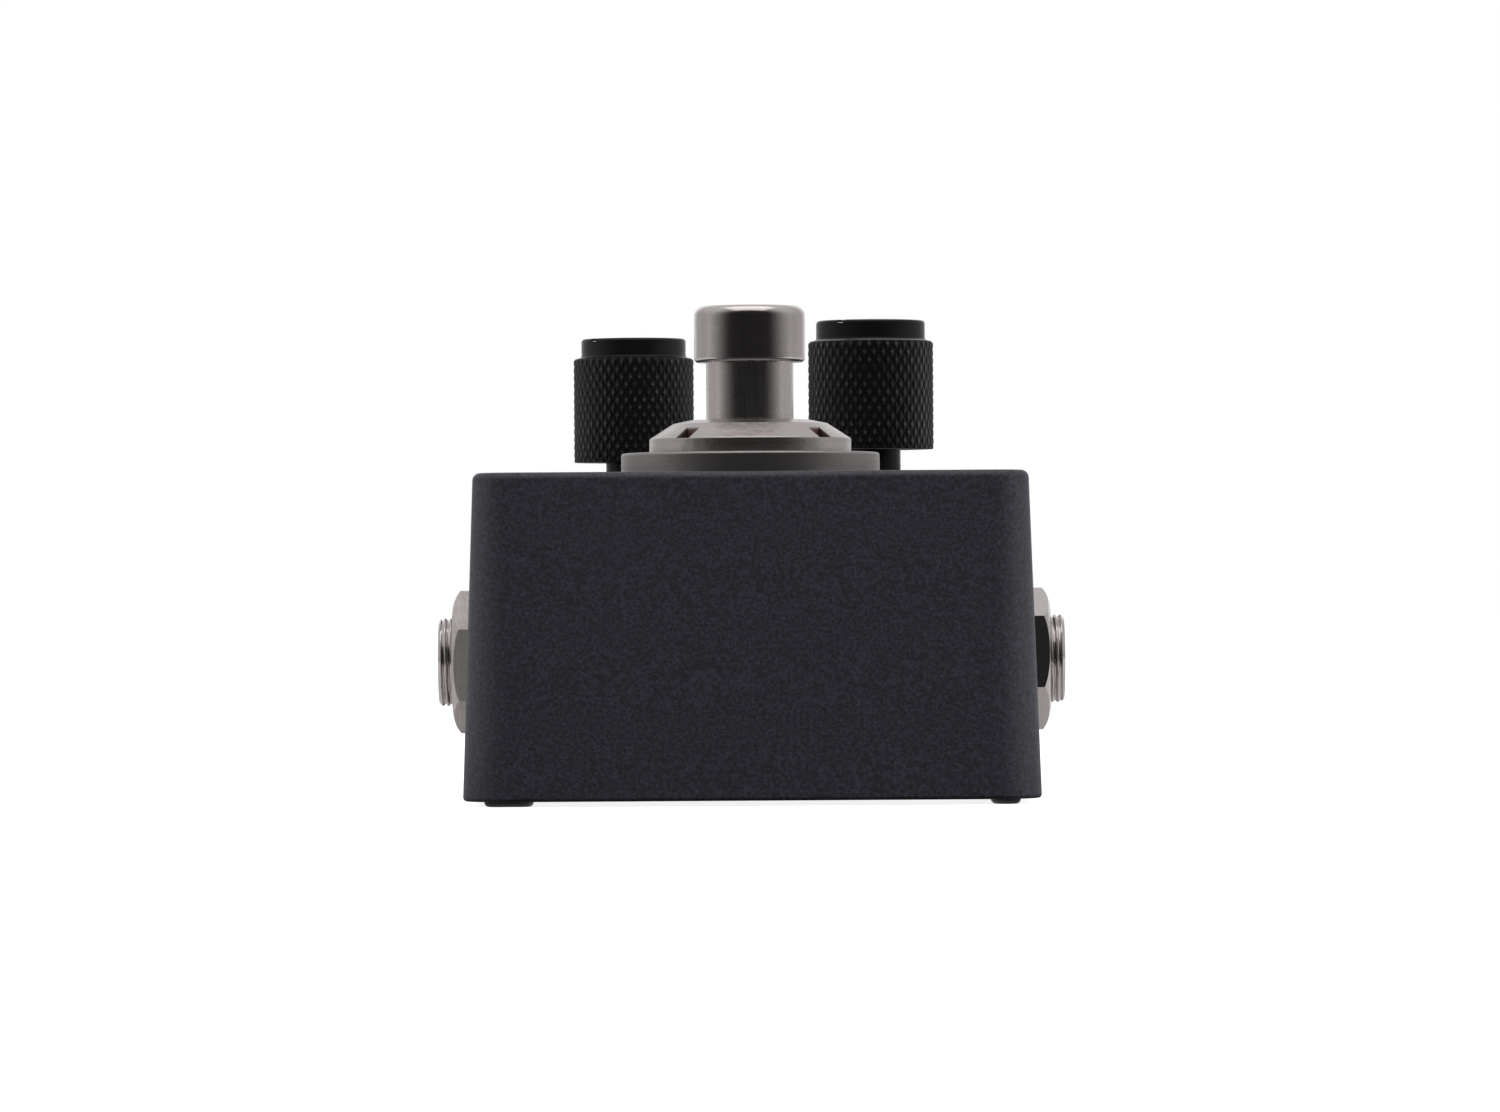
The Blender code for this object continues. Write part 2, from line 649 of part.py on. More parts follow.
def make_switch_dressing(body):
    """The wide washer and the round nut with a coned side, a crowned top and spanner slots."""
    stack = switch_stack()
    low = stack["washer_low"]
    high = low + DRESS_WASHER_THICKNESS
    bore = BUSHING_RADIUS + SEAT_GAP
    edge = DRESS_WASHER_RADIUS - DRESS_WASHER_EDGE
    rim = arc(edge, high - DRESS_WASHER_EDGE, DRESS_WASHER_EDGE, 0.0, 90.0)
    profile = [(bore, low), (DRESS_WASHER_RADIUS, low)] + rim + [(bore, high)]
    washer = turned(profile, closed=True)
    add_piece("footswitch_dress_washer", washer, nickel(), SWITCH_AXIS, body=body)
    low = stack["nut_low"]
    band = low + DRESS_NUT_BAND
    profile = [(bore, low), (DRESS_NUT_RADIUS, low), (DRESS_NUT_RADIUS, band)]
    profile += [(DRESS_NUT_TOP_RADIUS, band + DRESS_NUT_CONE), (bore, stack["nut_top"])]
    shape = turned(profile, closed=True)
    nut = add_piece("footswitch_dress_nut", shape, nickel(), SWITCH_AXIS, body=body)
    reach = DRESS_NUT_RADIUS + CUT_PAST - SPANNER_SLOT_INNER_RADIUS
    slot_size = (reach, SPANNER_SLOT_WIDTH, DRESS_NUT_CONE + DRESS_NUT_CROWN + CUT_PAST)
    middle = SPANNER_SLOT_INNER_RADIUS + reach / 2
    for count in range(SPANNER_SLOTS):
        spin = (0.0, 0.0, DRESS_NUT_TURN + 2 * math.pi * (count + 0.5) / SPANNER_SLOTS)
        slot = blocks([(slot_size, (middle, 0.0, band))])
        cut(nut, f"cut_spanner_slot_{count}", slot, SWITCH_AXIS, spin)


def make_switch_terminals(body):
    top = switch_stack()["housing_low"] - SEAT_GAP
    place = (0.0, SWITCH_Y, top - TERMINAL_PLATE_THICKNESS)
    width = SWITCH_WIDTH - 2 * TERMINAL_PLATE_MARGIN
    length = SWITCH_LENGTH - 2 * TERMINAL_PLATE_MARGIN
    shape = block(width, length, TERMINAL_PLATE_THICKNESS)
    plate = add_piece("footswitch_terminals", shape, brass(), place, body=body)
    lug = (LUG_WIDTH, LUG_THICKNESS, LUG_LENGTH + TERMINAL_PLATE_THICKNESS / 2)
    spread = [TERMINAL_PITCH * (k - (TERMINAL_ROWS - 1) / 2) for k in range(TERMINAL_ROWS)]
    join(plate, "add_lugs", blocks([(lug, (x, y, -LUG_LENGTH)) for x in spread for y in spread]), place)


def make_plunger(body):
    stack = switch_stack()
    cap_low = stack["nut_top"] + PLUNGER_STAND
    cap_top = cap_low + CAP_HEIGHT
    collar_low = stack["collar_low"]
    profile = [
        (SPRING_GUIDE_RADIUS, collar_low - SPRING_GUIDE_LENGTH),
        (SPRING_GUIDE_RADIUS, collar_low),
        (COLLAR_RADIUS, collar_low),
        (COLLAR_RADIUS, stack["collar_top"]),
        (STEM_RADIUS, stack["collar_top"]),
        (STEM_RADIUS, cap_low),
        (CAP_RADIUS - CAP_EDGE_BREAK, cap_low),
        (CAP_RADIUS, cap_low + CAP_EDGE_BREAK),
    ]
    profile += arc(CAP_RADIUS - CAP_FILLET, cap_top - CAP_FILLET, CAP_FILLET, 0.0, 90.0, DOME_STEPS)
    add_piece("footswitch_plunger", turned(profile), nickel(), SWITCH_AXIS, body=body)


def make_return_spring(body):
    """A compression spring between the housing's floor and the plunger's collar."""
    low = switch_stack()["cavity_floor"] + SEAT_GAP + SPRING_WIRE_RADIUS
    rise = SPRING_REST_LENGTH - 2 * SPRING_WIRE_RADIUS
    count = SPRING_TURNS * SPRING_POINTS_PER_TURN
    slope = rise / (2 * math.pi * SPRING_RADIUS * SPRING_TURNS)
    rings = []
    middles = []
    for step in range(count + 1):
        turn = 2 * math.pi * step / SPRING_POINTS_PER_TURN
        outward = Vector((math.cos(turn), math.sin(turn), 0.0))
        along = Vector((-math.sin(turn), math.cos(turn), slope)).normalized()
        upward = outward.cross(along)
        middle = outward * SPRING_RADIUS + Vector((0.0, 0.0, low + rise * step / count))
        section = circle(SPRING_WIRE_RADIUS, 0.0, SPRING_SIDES)
        rings.append([middle + outward * x + upward * y for x, y, _ in section])
        middles.append(middle)
    add_piece("footswitch_return_spring", skin(rings), nickel(), SWITCH_AXIS, body=body)
    apart = SPRING_POINTS_PER_TURN // 2
    least = min((b - a).length for k, a in enumerate(middles) for b in middles[k + apart :])
    print(f"least gap between the return spring's turns: {(least - 2 * SPRING_WIRE_RADIUS) / MM:.2f} mm")


def make_ribbon_cable(body):
    """A flat cable from the rear row of lugs up to the board's front edge."""
    lug_low = switch_stack()["housing_low"] - SEAT_GAP - TERMINAL_PLATE_THICKNESS - LUG_LENGTH
    start_y = SWITCH_Y + TERMINAL_PITCH + LUG_THICKNESS / 2 + RUN_GAP
    start = Vector((start_y, lug_low + RIBBON_THICKNESS))
    end = Vector((BOARD_FRONT_Y + BOARD_POST_EDGE, BOARD_BOTTOM_Z - RUN_GAP - RIBBON_THICKNESS / 2))
    bend = Vector((end.x - BOARD_POST_EDGE, start.y))
    rings = []
    for step in range(RIBBON_STEPS + 1):
        t = step / RIBBON_STEPS
        middle = start * (1 - t) ** 2 + bend * 2 * t * (1 - t) + end * t**2
        along = ((bend - start) * (1 - t) + (end - bend) * t).normalized()
        across = Vector((-along.y, along.x)) * RIBBON_THICKNESS / 2
        over, under = middle + across, middle - across
        half = RIBBON_WIDTH / 2
        rings.append([(-half, *under), (half, *under), (half, *over), (-half, *over)])
    add_piece("switch_ribbon_cable", skin(rings), black_plastic(), body=body)


# Circuit board
def board_screw_tip():
    return BOARD_BOTTOM_Z + BOARD_SCREW_LENGTH


def make_circuit_board(body):
    middle = (BOARD_FRONT_Y + BOARD_REAR_Y) / 2
    shape = block(BOARD_WIDTH, BOARD_REAR_Y - BOARD_FRONT_Y, BOARD_THICKNESS)
    board = add_piece("circuit_board", shape, green_laminate(), (0.0, middle, BOARD_BOTTOM_Z), body=body)
    for count, (x, y) in enumerate(board_posts()):
        hole = rod(BOARD_SCREW_RADIUS + RUN_GAP, -CUT_PAST, BOARD_THICKNESS + CUT_PAST, SMALL_SIDES)
        cut(board, f"cut_board_hole_{count}", hole, (x, y, BOARD_BOTTOM_Z))


def make_board_screws(body):
    for corner, (x, y) in zip(CORNER_NAMES, board_posts()):
        head_low = -SEAT_GAP - BOARD_SCREW_HEAD_HEIGHT
        crown = BOARD_SCREW_HEAD_RADIUS * BOARD_SCREW_CROWN_SHARE
        profile = [(crown, head_low), (BOARD_SCREW_HEAD_RADIUS, head_low / 2)]
        profile += [(BOARD_SCREW_HEAD_RADIUS, -SEAT_GAP), (BOARD_SCREW_RADIUS, -SEAT_GAP)]
        profile.append((BOARD_SCREW_RADIUS, BOARD_SCREW_LENGTH))
        name = f"board_screw_{corner}"
        place = (x, y, BOARD_BOTTOM_Z)
        screw = add_piece(name, turned(profile, SMALL_SIDES), nickel(), place, body=body)
        recess = cross_recess(BOARD_SCREW_HEAD_RADIUS, BOARD_SCREW_HEAD_HEIGHT * DRIVE_DEPTH_SHARE)
        cut(screw, f"cut_{name}", recess, (x, y, BOARD_BOTTOM_Z + head_low))


def make_board_parts(body):
    def on_board(place):
        return (place[0], BOARD_FRONT_Y + place[1], BOARD_TOP_Z + SEAT_GAP)

    chip = block(*CHIP_SIZE, SEAT_GAP)
    add_piece("amplifier_chip", chip, black_plastic(), on_board(CHIP_PLACE), body=body)
    film = finish("red_film_capacitor", (0.30, 0.03, 0.02), 0.4)
    shape = block(*FILM_CAPACITOR_SIZE, RUN_GAP)
    add_piece("film_capacitor", shape, film, on_board(FILM_CAPACITOR_PLACE), body=body)
    sleeve = finish("blue_capacitor_sleeve", (0.03, 0.05, 0.16), 0.35)
    for side, place in zip(("front", "rear"), ELECTROLYTIC_PLACES):
        can = turned([(ELECTROLYTIC_RADIUS, 0.0), (ELECTROLYTIC_RADIUS, ELECTROLYTIC_HEIGHT)], SMALL_SIDES)
        add_piece(f"electrolytic_capacitor_{side}", can, sleeve, on_board(place), body=body)


# Knobs and potentiometers
def knobs():
    left = {
        "name": "left_knob",
        "axis": Vector((-KNOB_SIDE_OFFSET, LEFT_KNOB_Y, 0.0)),
        "low": TOP_Z + LEFT_KNOB_LIFT,
        "pointer": LEFT_POINTER_TURN,
    }
    right = {
        "name": "right_knob",
        "axis": Vector((KNOB_SIDE_OFFSET, RIGHT_KNOB_Y, 0.0)),
        "low": TOP_Z + RIGHT_KNOB_LIFT,
        "pointer": RIGHT_POINTER_TURN,
    }
    return (left, right)


def knob_height():
    return KNOB_BARREL_HEIGHT + KNOB_BEVEL_HEIGHT + KNOB_CAP_HEIGHT


def knob_profile():
    """Outside of the knob from its foot to the rim of its flat top."""
    bevel_top = KNOB_BARREL_HEIGHT + KNOB_BEVEL_HEIGHT
    profile = [
        (KNOB_RADIUS - KNOB_EDGE_BREAK, 0.0),
        (KNOB_RADIUS, KNOB_EDGE_BREAK),
        (KNOB_RADIUS, KNOB_BARREL_HEIGHT),
        (KNOB_CAP_RADIUS, bevel_top),
    ]
    return profile + arc(
        KNOB_CAP_RADIUS - KNOB_EDGE_BREAK, knob_height() - KNOB_EDGE_BREAK, KNOB_EDGE_BREAK, 0.0, 90.0
    )


def make_knob(knob, body):
    name, low, axis = knob["name"], knob["low"], knob["axis"]
    place = (axis.x, axis.y, low)
    piece = add_piece(name, turned(knob_profile()), black_metal(), place, body=body)
    bore = rod(SHAFT_RADIUS + SEAT_GAP, -CUT_PAST, knob_height() - KNOB_ROOF, SMALL_SIDES)
    cut(piece, f"cut_{name}_bore", bore, place)
    spin = (0.0, 0.0, math.pi / 2 + knob["pointer"])
    reach = KNOB_CAP_RADIUS + CUT_PAST - POINTER_INNER_RADIUS
    groove = (reach, POINTER_WIDTH, POINTER_DEPTH + CUT_PAST)
    groove_middle = POINTER_INNER_RADIUS + reach / 2
    groove_place = (groove_middle, 0.0, knob_height() - POINTER_DEPTH)
    cut(piece, f"cut_{name}_pointer", blocks([(groove, groove_place)]), place, spin)
    drill = (0.0, -math.pi / 2, spin[2])
    drill_place = (axis.x, axis.y, low + SET_SCREW_HEIGHT)
    hole = rod(SET_SCREW_RADIUS + SEAT_GAP, SHAFT_RADIUS / 2, KNOB_RADIUS + CUT_PAST, SMALL_SIDES)
    cut(piece, f"cut_{name}_set_screw", hole, drill_place, drill)
    tip = SHAFT_RADIUS + SEAT_GAP
    face = KNOB_RADIUS - KNOB_EDGE_BREAK
    grub = rod(SET_SCREW_RADIUS, tip, face, SMALL_SIDES)
    screw = add_piece(f"{name}_set_screw", grub, black_steel(), drill_place, drill, body)
    socket = skin([
        circle(SET_SCREW_SOCKET_RADIUS, face - SET_SCREW_SOCKET_DEPTH, 6),
        circle(SET_SCREW_SOCKET_RADIUS, face + CUT_PAST, 6),
    ])
    cut(screw, f"cut_{name}_socket", socket, drill_place, drill)


def make_pot(knob, root, body):
    side = knob["name"].split("_")[0]
    axis = knob["axis"]
    low = BOARD_TOP_Z + SEAT_GAP
    shape = block(POT_WIDTH, POT_LENGTH, POT_HEIGHT, SEAT_GAP)
    case = add_piece(f"{side}_pot_case", shape, nickel(), (axis.x, axis.y, low), body=root)
    neck = rod(POT_NECK_RADIUS, low + POT_HEIGHT / 2, INNER_TOP_Z - RUN_GAP, SMALL_SIDES)
    join(case, f"add_{side}_pot_neck", neck, axis)
    floor = low + POT_FLOOR
    cut(case, f"cut_{side}_pot_bore", rod(SHAFT_RADIUS + RUN_GAP, floor, TOP_Z, SMALL_SIDES), axis)
    top = knob["low"] + knob_height() - KNOB_ROOF - RUN_GAP
    shaft = rod(SHAFT_RADIUS, floor + RUN_GAP, top, SMALL_SIDES)
    add_piece(f"{side}_pot_shaft", shaft, black_metal(), axis, body=body)


# Jacks
FACE_RIGHT = (0.0, math.pi / 2, 0.0)
FACE_LEFT = (0.0, -math.pi / 2, 0.0)
FACE_REAR = (-math.pi / 2, 0.0, 0.0)


def jacks():
    centre = Vector((0.0, JACK_Y, JACK_HEIGHT))
    output = {"name": "output_jack", "centre": centre, "turn": FACE_LEFT, "nut": LEFT_NUT_TURN, "side": -1}
    input_ = {"name": "input_jack", "centre": centre, "turn": FACE_RIGHT, "nut": RIGHT_NUT_TURN, "side": 1}
    return (output, input_)


def jack_wall_x():
    return outer_half_width(JACK_HEIGHT)


def jack_seat_x():
    """The flat machined into the drafted wall, which the washer seats on."""
    return jack_wall_x() - JACK_SPOT_FACE_DEPTH


def jack_stations():
    """Distances from the centre line along one jack. In a narrow box the barrel stands out further,
    so that a whole plug still fits on each side of the middle."""
    washer_low = jack_seat_x() + SEAT_GAP
    nut_low = washer_low + JACK_WASHER_THICKNESS + SEAT_GAP
    nut_high = nut_low + JACK_NUT_THICKNESS
    plug_reach = JACK_MIDDLE_GAP / 2 + JACK_HOUSING_END_WALL + PLUG_TIP_ROOM + PLUG_LENGTH
    barrel_end = max(nut_high + JACK_BARREL_PAST_NUT, plug_reach)
    highest_inner_wall = outer_half_width(JACK_HEIGHT + JACK_HOUSING_HEIGHT / 2) - WALL
    housing_high = highest_inner_wall - SEAT_GAP
    bore_end = barrel_end - PLUG_LENGTH - PLUG_TIP_ROOM
    return {
        "washer_low": washer_low,
        "nut_low": nut_low,
        "nut_high": nut_high,
        "barrel_end": barrel_end,
        "housing_high": housing_high,
        "barrel_low": housing_high - JACK_BARREL_SEAT,
        "bore_end": bore_end,
        "housing_low": bore_end - JACK_HOUSING_END_WALL,
    }


def contact_slot():
    """The room above the plug's path that the tip contact lies in, open to the bore."""
    far = jack_stations()["bore_end"]
    return far, far + CONTACT_SLOT_LENGTH


def make_jack_housing(jack, body):
    name, place, turn, at = jack["name"], jack["centre"], jack["turn"], jack_stations()
    shape = block(JACK_HOUSING_HEIGHT, JACK_HOUSING_WIDTH, at["housing_high"] - at["housing_low"], RUN_GAP)
    bmesh.ops.translate(shape, verts=shape.verts, vec=(0.0, 0.0, at["housing_low"]))
    housing = add_piece(f"{name}_housing", shape, black_plastic(), place, turn, body)
    seat = at["barrel_low"] - SEAT_GAP
    bore = [
        (JACK_BORE_RADIUS, at["bore_end"]),
        (JACK_BORE_RADIUS, seat),
        (JACK_BARREL_RADIUS + RUN_GAP, seat),
        (JACK_BARREL_RADIUS + RUN_GAP, at["housing_high"] + CUT_PAST),
    ]
    cut(housing, f"cut_{name}_bore", turned(bore, SMALL_SIDES), place, turn)
    near, far = contact_slot()
    slot = (CONTACT_SLOT_HEIGHT, CONTACT_SLOT_WIDTH, far - near)
    above = -jack["side"] * CONTACT_SLOT_HEIGHT / 2
    cut(housing, f"cut_{name}_contact_slot", blocks([(slot, (above, 0.0, near))]), place, turn)


def make_jack_metal(jack, body):
    name, place, turn, at = jack["name"], jack["centre"], jack["turn"], jack_stations()
    end = at["barrel_end"]
    outer = JACK_BARREL_RADIUS
    profile = [(JACK_BORE_RADIUS, at["barrel_low"]), (outer, at["barrel_low"])]
    profile += [(outer, end - JACK_BARREL_EDGE), (outer - JACK_BARREL_EDGE, end), (JACK_BORE_RADIUS, end)]
    add_piece(f"{name}_barrel", turned(profile, closed=True), nickel(), place, turn, body)
    bore = JACK_BARREL_RADIUS + SEAT_GAP
    low = at["washer_low"]
    washer = tube(bore, JACK_WASHER_RADIUS, low, low + JACK_WASHER_THICKNESS)
    add_piece(f"{name}_washer", washer, nickel(), place, turn, body)
    hexes = [hexagon(JACK_NUT_FLATS, at[station], jack["nut"]) for station in ("nut_low", "nut_high")]
    nut = add_piece(f"{name}_nut", skin(hexes), nickel(), place, turn, body)
    corner = JACK_NUT_FLATS / math.sqrt(3.0) + CUT_PAST
    face = JACK_NUT_FLATS / 2
    slope = (corner - face) * math.tan(JACK_NUT_CHAMFER)
    cone = [(corner, at["nut_low"] - CUT_PAST), (corner, at["nut_high"] - slope)]
    cone += [(face, at["nut_high"]), (face, at["nut_high"] + CUT_PAST)]
    trim(nut, f"trim_{name}_nut", turned(cone), place, turn)
    thread = rod(bore, at["nut_low"] - CUT_PAST, at["nut_high"] + CUT_PAST)
    cut(nut, f"cut_{name}_nut_thread", thread, place, turn)


def make_tip_contact(jack, body):
    """A sprung leaf along the roof of its slot, bent down at the far end to meet a plug's tip."""
    near, far = contact_slot()
    side = jack["side"]
    roof = CONTACT_SLOT_HEIGHT - RUN_GAP
    flat = roof - CONTACT_THICKNESS
    bent = flat - CONTACT_BUMP
    first = near + RUN_GAP
    last = far - RUN_GAP
    middle = first + CONTACT_BUMP_LENGTH / 2
    knee = first + CONTACT_BUMP_LENGTH
    outline = [(first, roof), (first, flat), (middle, bent), (knee, flat), (last, flat), (last, roof)]
    outline += [(knee, roof), (middle, bent + CONTACT_THICKNESS)]
    half = CONTACT_SLOT_WIDTH / 2 - RUN_GAP
    rings = [[(side * x, y, z) for x, z in outline] for y in (-half, half)]
    add_piece(f"{jack['name']}_tip_contact", skin(rings), brass(), jack["centre"], body=body)


# Power socket and status light
def power_height():
    return BOARD_BOTTOM_Z - SEAT_GAP - POWER_HEIGHT + POWER_BORE_RISE


def power_face_y():
    """The socket's face, just inside the far wall at the highest point it reaches."""
    return outer_half_length(BOARD_BOTTOM_Z) - WALL - RUN_GAP


def make_power_socket(body):
    face = power_face_y()
    low = power_height() - POWER_BORE_RISE
    shape = block(POWER_WIDTH, POWER_LENGTH, POWER_HEIGHT, RUN_GAP)
    housing = add_piece(
        "power_socket_housing", shape, black_plastic(), (0.0, face - POWER_LENGTH / 2, low), body=body
    )
    place = (0.0, 0.0, power_height())
    floor = face - POWER_BORE_DEPTH
    bore = rod(POWER_BORE_RADIUS, floor, face + CUT_PAST, SMALL_SIDES)
    cut(housing, "cut_power_bore", bore, place, FACE_REAR)
    tip = face - POWER_PIN_SETBACK
    profile = [(POWER_PIN_RADIUS, floor + SEAT_GAP), (POWER_PIN_RADIUS, tip - POWER_PIN_RADIUS / 2)]
    profile.append((POWER_PIN_RADIUS / 2, tip))
    add_piece("power_socket_pin", turned(profile, SMALL_SIDES), nickel(), place, FACE_REAR, body)


def bezel_outer_radius():
    return LENS_RADIUS + SEAT_GAP + BEZEL_WALL


def make_status_light(body):
    place = (*LIGHT_PLACE, 0.0)
    seat = TOP_Z + SEAT_GAP
    crown = seat + BEZEL_FLANGE_HEIGHT
    tail = INNER_TOP_Z - BEZEL_TAIL
    inner = LENS_RADIUS + SEAT_GAP
    outer = bezel_outer_radius()
    profile = [(inner, tail), (outer, tail), (outer, seat), (BEZEL_FLANGE_RADIUS, seat)]
    profile += [(outer, crown), (inner, crown)]
    bezel = turned(profile, SMALL_SIDES, closed=True)
    add_piece("status_light_bezel", bezel, nickel(), place, body=body)
    lens_low = tail - LENS_SKIRT
    dome_base = TOP_Z + LENS_STAND
    profile = [(LENS_RADIUS, lens_low), (LENS_RADIUS, dome_base)]
    profile += arc(0.0, dome_base, LENS_RADIUS, 0.0, LENS_DOME_DEG, DOME_STEPS)[1:]
    glow = finish("red_light_lens", (0.45, 0.02, 0.02), 0.15)
    add_piece("status_light_lens", turned(profile, SMALL_SIDES), glow, place, body=body)
    spacer = tube(inner / 2, outer, BOARD_TOP_Z + SEAT_GAP, lens_low - SEAT_GAP, SMALL_SIDES)
    add_piece("status_light_spacer", spacer, black_plastic(), place, body=body)


def main():
    clear_scene()
    root = body_empty("pedal", Vector((0.0, 0.0, 0.0)))
    plunger = body_empty("plunger_axis", SWITCH_AXIS)
    make_enclosure(root)
    make_base_plate(root)
    make_base_screws(root)
    make_feet(root)
    make_switch_body(root)
    make_switch_dressing(root)
    make_switch_terminals(root)
    make_plunger(plunger)
    make_return_spring(plunger)
    make_ribbon_cable(root)
    make_circuit_board(root)
    make_board_screws(root)
    make_board_parts(root)
    for knob in knobs():
        axis = body_empty(f"{knob['name']}_axis", knob["axis"])
        make_knob(knob, axis)
        make_pot(knob, root, axis)
    for jack in jacks():
        make_jack_housing(jack, root)
        make_jack_metal(jack, root)
        make_tip_contact(jack, root)
    make_power_socket(root)
    make_status_light(root)


main()
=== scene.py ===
"""Looks of a compact stompbox volume pedal: every finish and the fine shapes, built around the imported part.

+X is the player's right, +Y points from the footswitch end to the far end, and the feet stand on z = 0.
Lengths are in metres, written as millimetres times MM. Round pieces are turned about their own axes and
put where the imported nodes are.
"""

import json
import math

import bmesh
import bpy
from bpy.props import FloatProperty, FloatVectorProperty, IntProperty, PointerProperty
from mathutils import Matrix, Vector


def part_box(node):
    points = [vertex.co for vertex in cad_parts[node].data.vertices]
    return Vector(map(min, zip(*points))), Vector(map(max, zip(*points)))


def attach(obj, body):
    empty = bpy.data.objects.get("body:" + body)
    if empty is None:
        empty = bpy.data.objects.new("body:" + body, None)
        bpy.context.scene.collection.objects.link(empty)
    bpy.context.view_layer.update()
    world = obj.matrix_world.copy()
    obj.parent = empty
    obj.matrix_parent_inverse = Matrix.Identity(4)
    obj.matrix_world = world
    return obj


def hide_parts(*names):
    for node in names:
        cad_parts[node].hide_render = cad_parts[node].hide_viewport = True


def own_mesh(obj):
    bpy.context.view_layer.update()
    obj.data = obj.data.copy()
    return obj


bl_info = {
    "name": "Stompbox Volume Pedal",
    "version": (1, 0, 0),
    "blender": (4, 5, 0),
    "location": "View3D > Sidebar > Pedal",
    "description": "Builds the finished pieces of a stompbox volume pedal and a plain white stage",
    "category": "Object",
}

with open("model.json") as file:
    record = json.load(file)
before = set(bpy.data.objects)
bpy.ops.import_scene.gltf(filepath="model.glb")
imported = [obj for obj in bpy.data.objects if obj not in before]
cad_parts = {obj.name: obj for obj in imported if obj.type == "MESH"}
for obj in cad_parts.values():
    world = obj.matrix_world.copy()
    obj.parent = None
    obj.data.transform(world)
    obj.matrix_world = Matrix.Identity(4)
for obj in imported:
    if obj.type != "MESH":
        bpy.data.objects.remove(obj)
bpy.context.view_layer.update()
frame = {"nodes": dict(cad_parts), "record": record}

MM = 0.001

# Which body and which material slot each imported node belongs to
BODY_OF = {node: body for body, nodes in frame["record"]["behaviour"]["bodies"].items() for node in nodes}
SLOT_OF = {row["node"]: row["material_slot"] for row in frame["record"]["subparts"]}
SCREW_CORNERS = ("front_left", "front_right", "rear_left", "rear_right")

# Fineness of round shapes
ROUND_SIDES = 128
SMALL_SIDES = 64
HEX_SIDES = 6
CORNER_STEPS = 14
FILLET_STEPS = 6
EDGE_STEPS = 3
SHARP_ANGLE = math.radians(30.0)

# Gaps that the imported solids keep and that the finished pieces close
SEAT_GAP = 0.2 * MM
RUN_GAP = 0.3 * MM
CUT_PAST = 1.0 * MM

# Cast box
DRAFT = math.radians(2.0)
RIM_FILLET = 0.4 * MM
WALL = 2.2 * MM
RIM_WALL = 1.5 * MM
INNER_FILLET = 0.8 * MM
LEAST_RADIUS = 0.3 * MM
LEAST_FLAT = 0.001 * MM
BASE_POST_RADIUS = 3.4 * MM
BOARD_POST_RADIUS = 2.6 * MM
JACK_SPOT_FACE_RADIUS = 8.3 * MM
POWER_HOLE_RADIUS = 5.0 * MM
PLATE_EDGE_BREAK = 0.25 * MM

# Screws
BASE_HOLE_RADIUS = 1.75 * MM
BASE_SHANK_RADIUS = 1.45 * MM
BOARD_HOLE_RADIUS = 1.4 * MM
HEAD_DEPTH = 1.2 * MM
DRIVE_DEPTH = 0.9 * MM
DRIVE_REACH = 0.62
DRIVE_HALF_WIDTH = 0.16
DRIVE_TAPER = 0.55

# Footswitch
STEM_RADIUS = 4.51 * MM
CAP_HEIGHT = 5.85 * MM
CAP_FILLET = 1.05 * MM
CAP_EDGE = 0.45 * MM
COLLAR_RADIUS = 5.3 * MM
COLLAR_THICKNESS = 1.5 * MM
SPRING_GUIDE_RADIUS = 2.0 * MM
WASHER_EDGE = 0.3 * MM
NUT_BAND = 1.35 * MM
NUT_TOP_RADIUS = 8.1 * MM
NUT_CROWN = 0.35 * MM
NUT_CROWN_DEG = 80.0
NUT_EDGE = 0.22 * MM
NUT_TURN = math.radians(3.0)
SLOT_INNER_RADIUS = 8.7 * MM
SLOT_COUNT = 4
DIRT_START = 0.08 * MM
DIRT_FULL = 0.3 * MM
SPRING_WIRE_RADIUS = 0.32 * MM
SPRING_TURNS = 5
SPRING_POINTS = 28
SPRING_SIDES = 12

# Knobs
KNOB_BARREL_HEIGHT = 11.4 * MM
KNOB_SHOULDER_HEIGHT = 0.4 * MM
KNOB_CAP_RADIUS = 5.75 * MM
KNOB_CHAMFER = 0.2 * MM
KNOB_FOOT_BREAK = 0.08 * MM
KNOB_CAP_FILLET = 0.35 * MM
KNOB_SHOULDER_DEG = 240.0
KNOB_ROOF = 2.6 * MM
KNURL_ANGLE = math.radians(30.0)
KNURL_CELL = 8
KNURL_GROOVE_SHARE = 0.46
POINTER_INNER_RADIUS = 2.2 * MM
POINTER_DEPTH = 0.35 * MM
POINTER_SINK = 0.3 * MM
POINTER_TURNS = {"left": math.radians(131.0), "right": math.radians(145.0)}
KNOB_GLEAM = {"left": 0.17, "right": 0.14}
SET_SCREW_SOCKET_RADIUS = 0.75 * MM
SET_SCREW_SOCKET_DEPTH = 1.2 * MM

# Jacks
JACK_BORE_RADIUS = 3.3 * MM
BARREL_CHAMFER = 0.35 * MM
THREAD_STEPS = 8
JACK_NUT_FLATS = 13.2 * MM
NUT_DOME_START = 5.2 * MM
NUT_DOME_RADIUS = 3.9 * MM
NUT_DOME_DEG = 50.0
JACK_NUT_TURNS = {"output": math.radians(-2.5), "input": math.radians(-7.0)}
EDGE_BREAK = 0.1 * MM

# Power socket and status light
POWER_BORE_RADIUS = 3.2 * MM
POWER_BORE_DEPTH = 9.5 * MM
BEZEL_START_DEG = 45.0
BEZEL_STEPS = 4
LENS_TOP_DEG = 88.0

# Least and most roughness of a finish, and how the nickel plate of duller pieces differs from the bright one.
# The tone of the washer and the nut is painted shade, and that of the output jack's nut is painted light
COAT_GLOSS = (0.5, 0.62)
ANODISE_GLOSS = (0.28, 0.4)
BRIGHT_GLOSS = (0.15, 0.22)
NUT_WEAR_AND_SHADE = {"gloss": (0.26, 0.38), "tone": 0.86, "wave": 45.0}
WASHER_WEAR_AND_SHADE = {"gloss": (0.36, 0.48), "tone": 0.62}
MILLED_FINISH_AND_LIGHT = {"gloss": (0.58, 0.72), "tone": 1.15}
SCUFF = 0.1

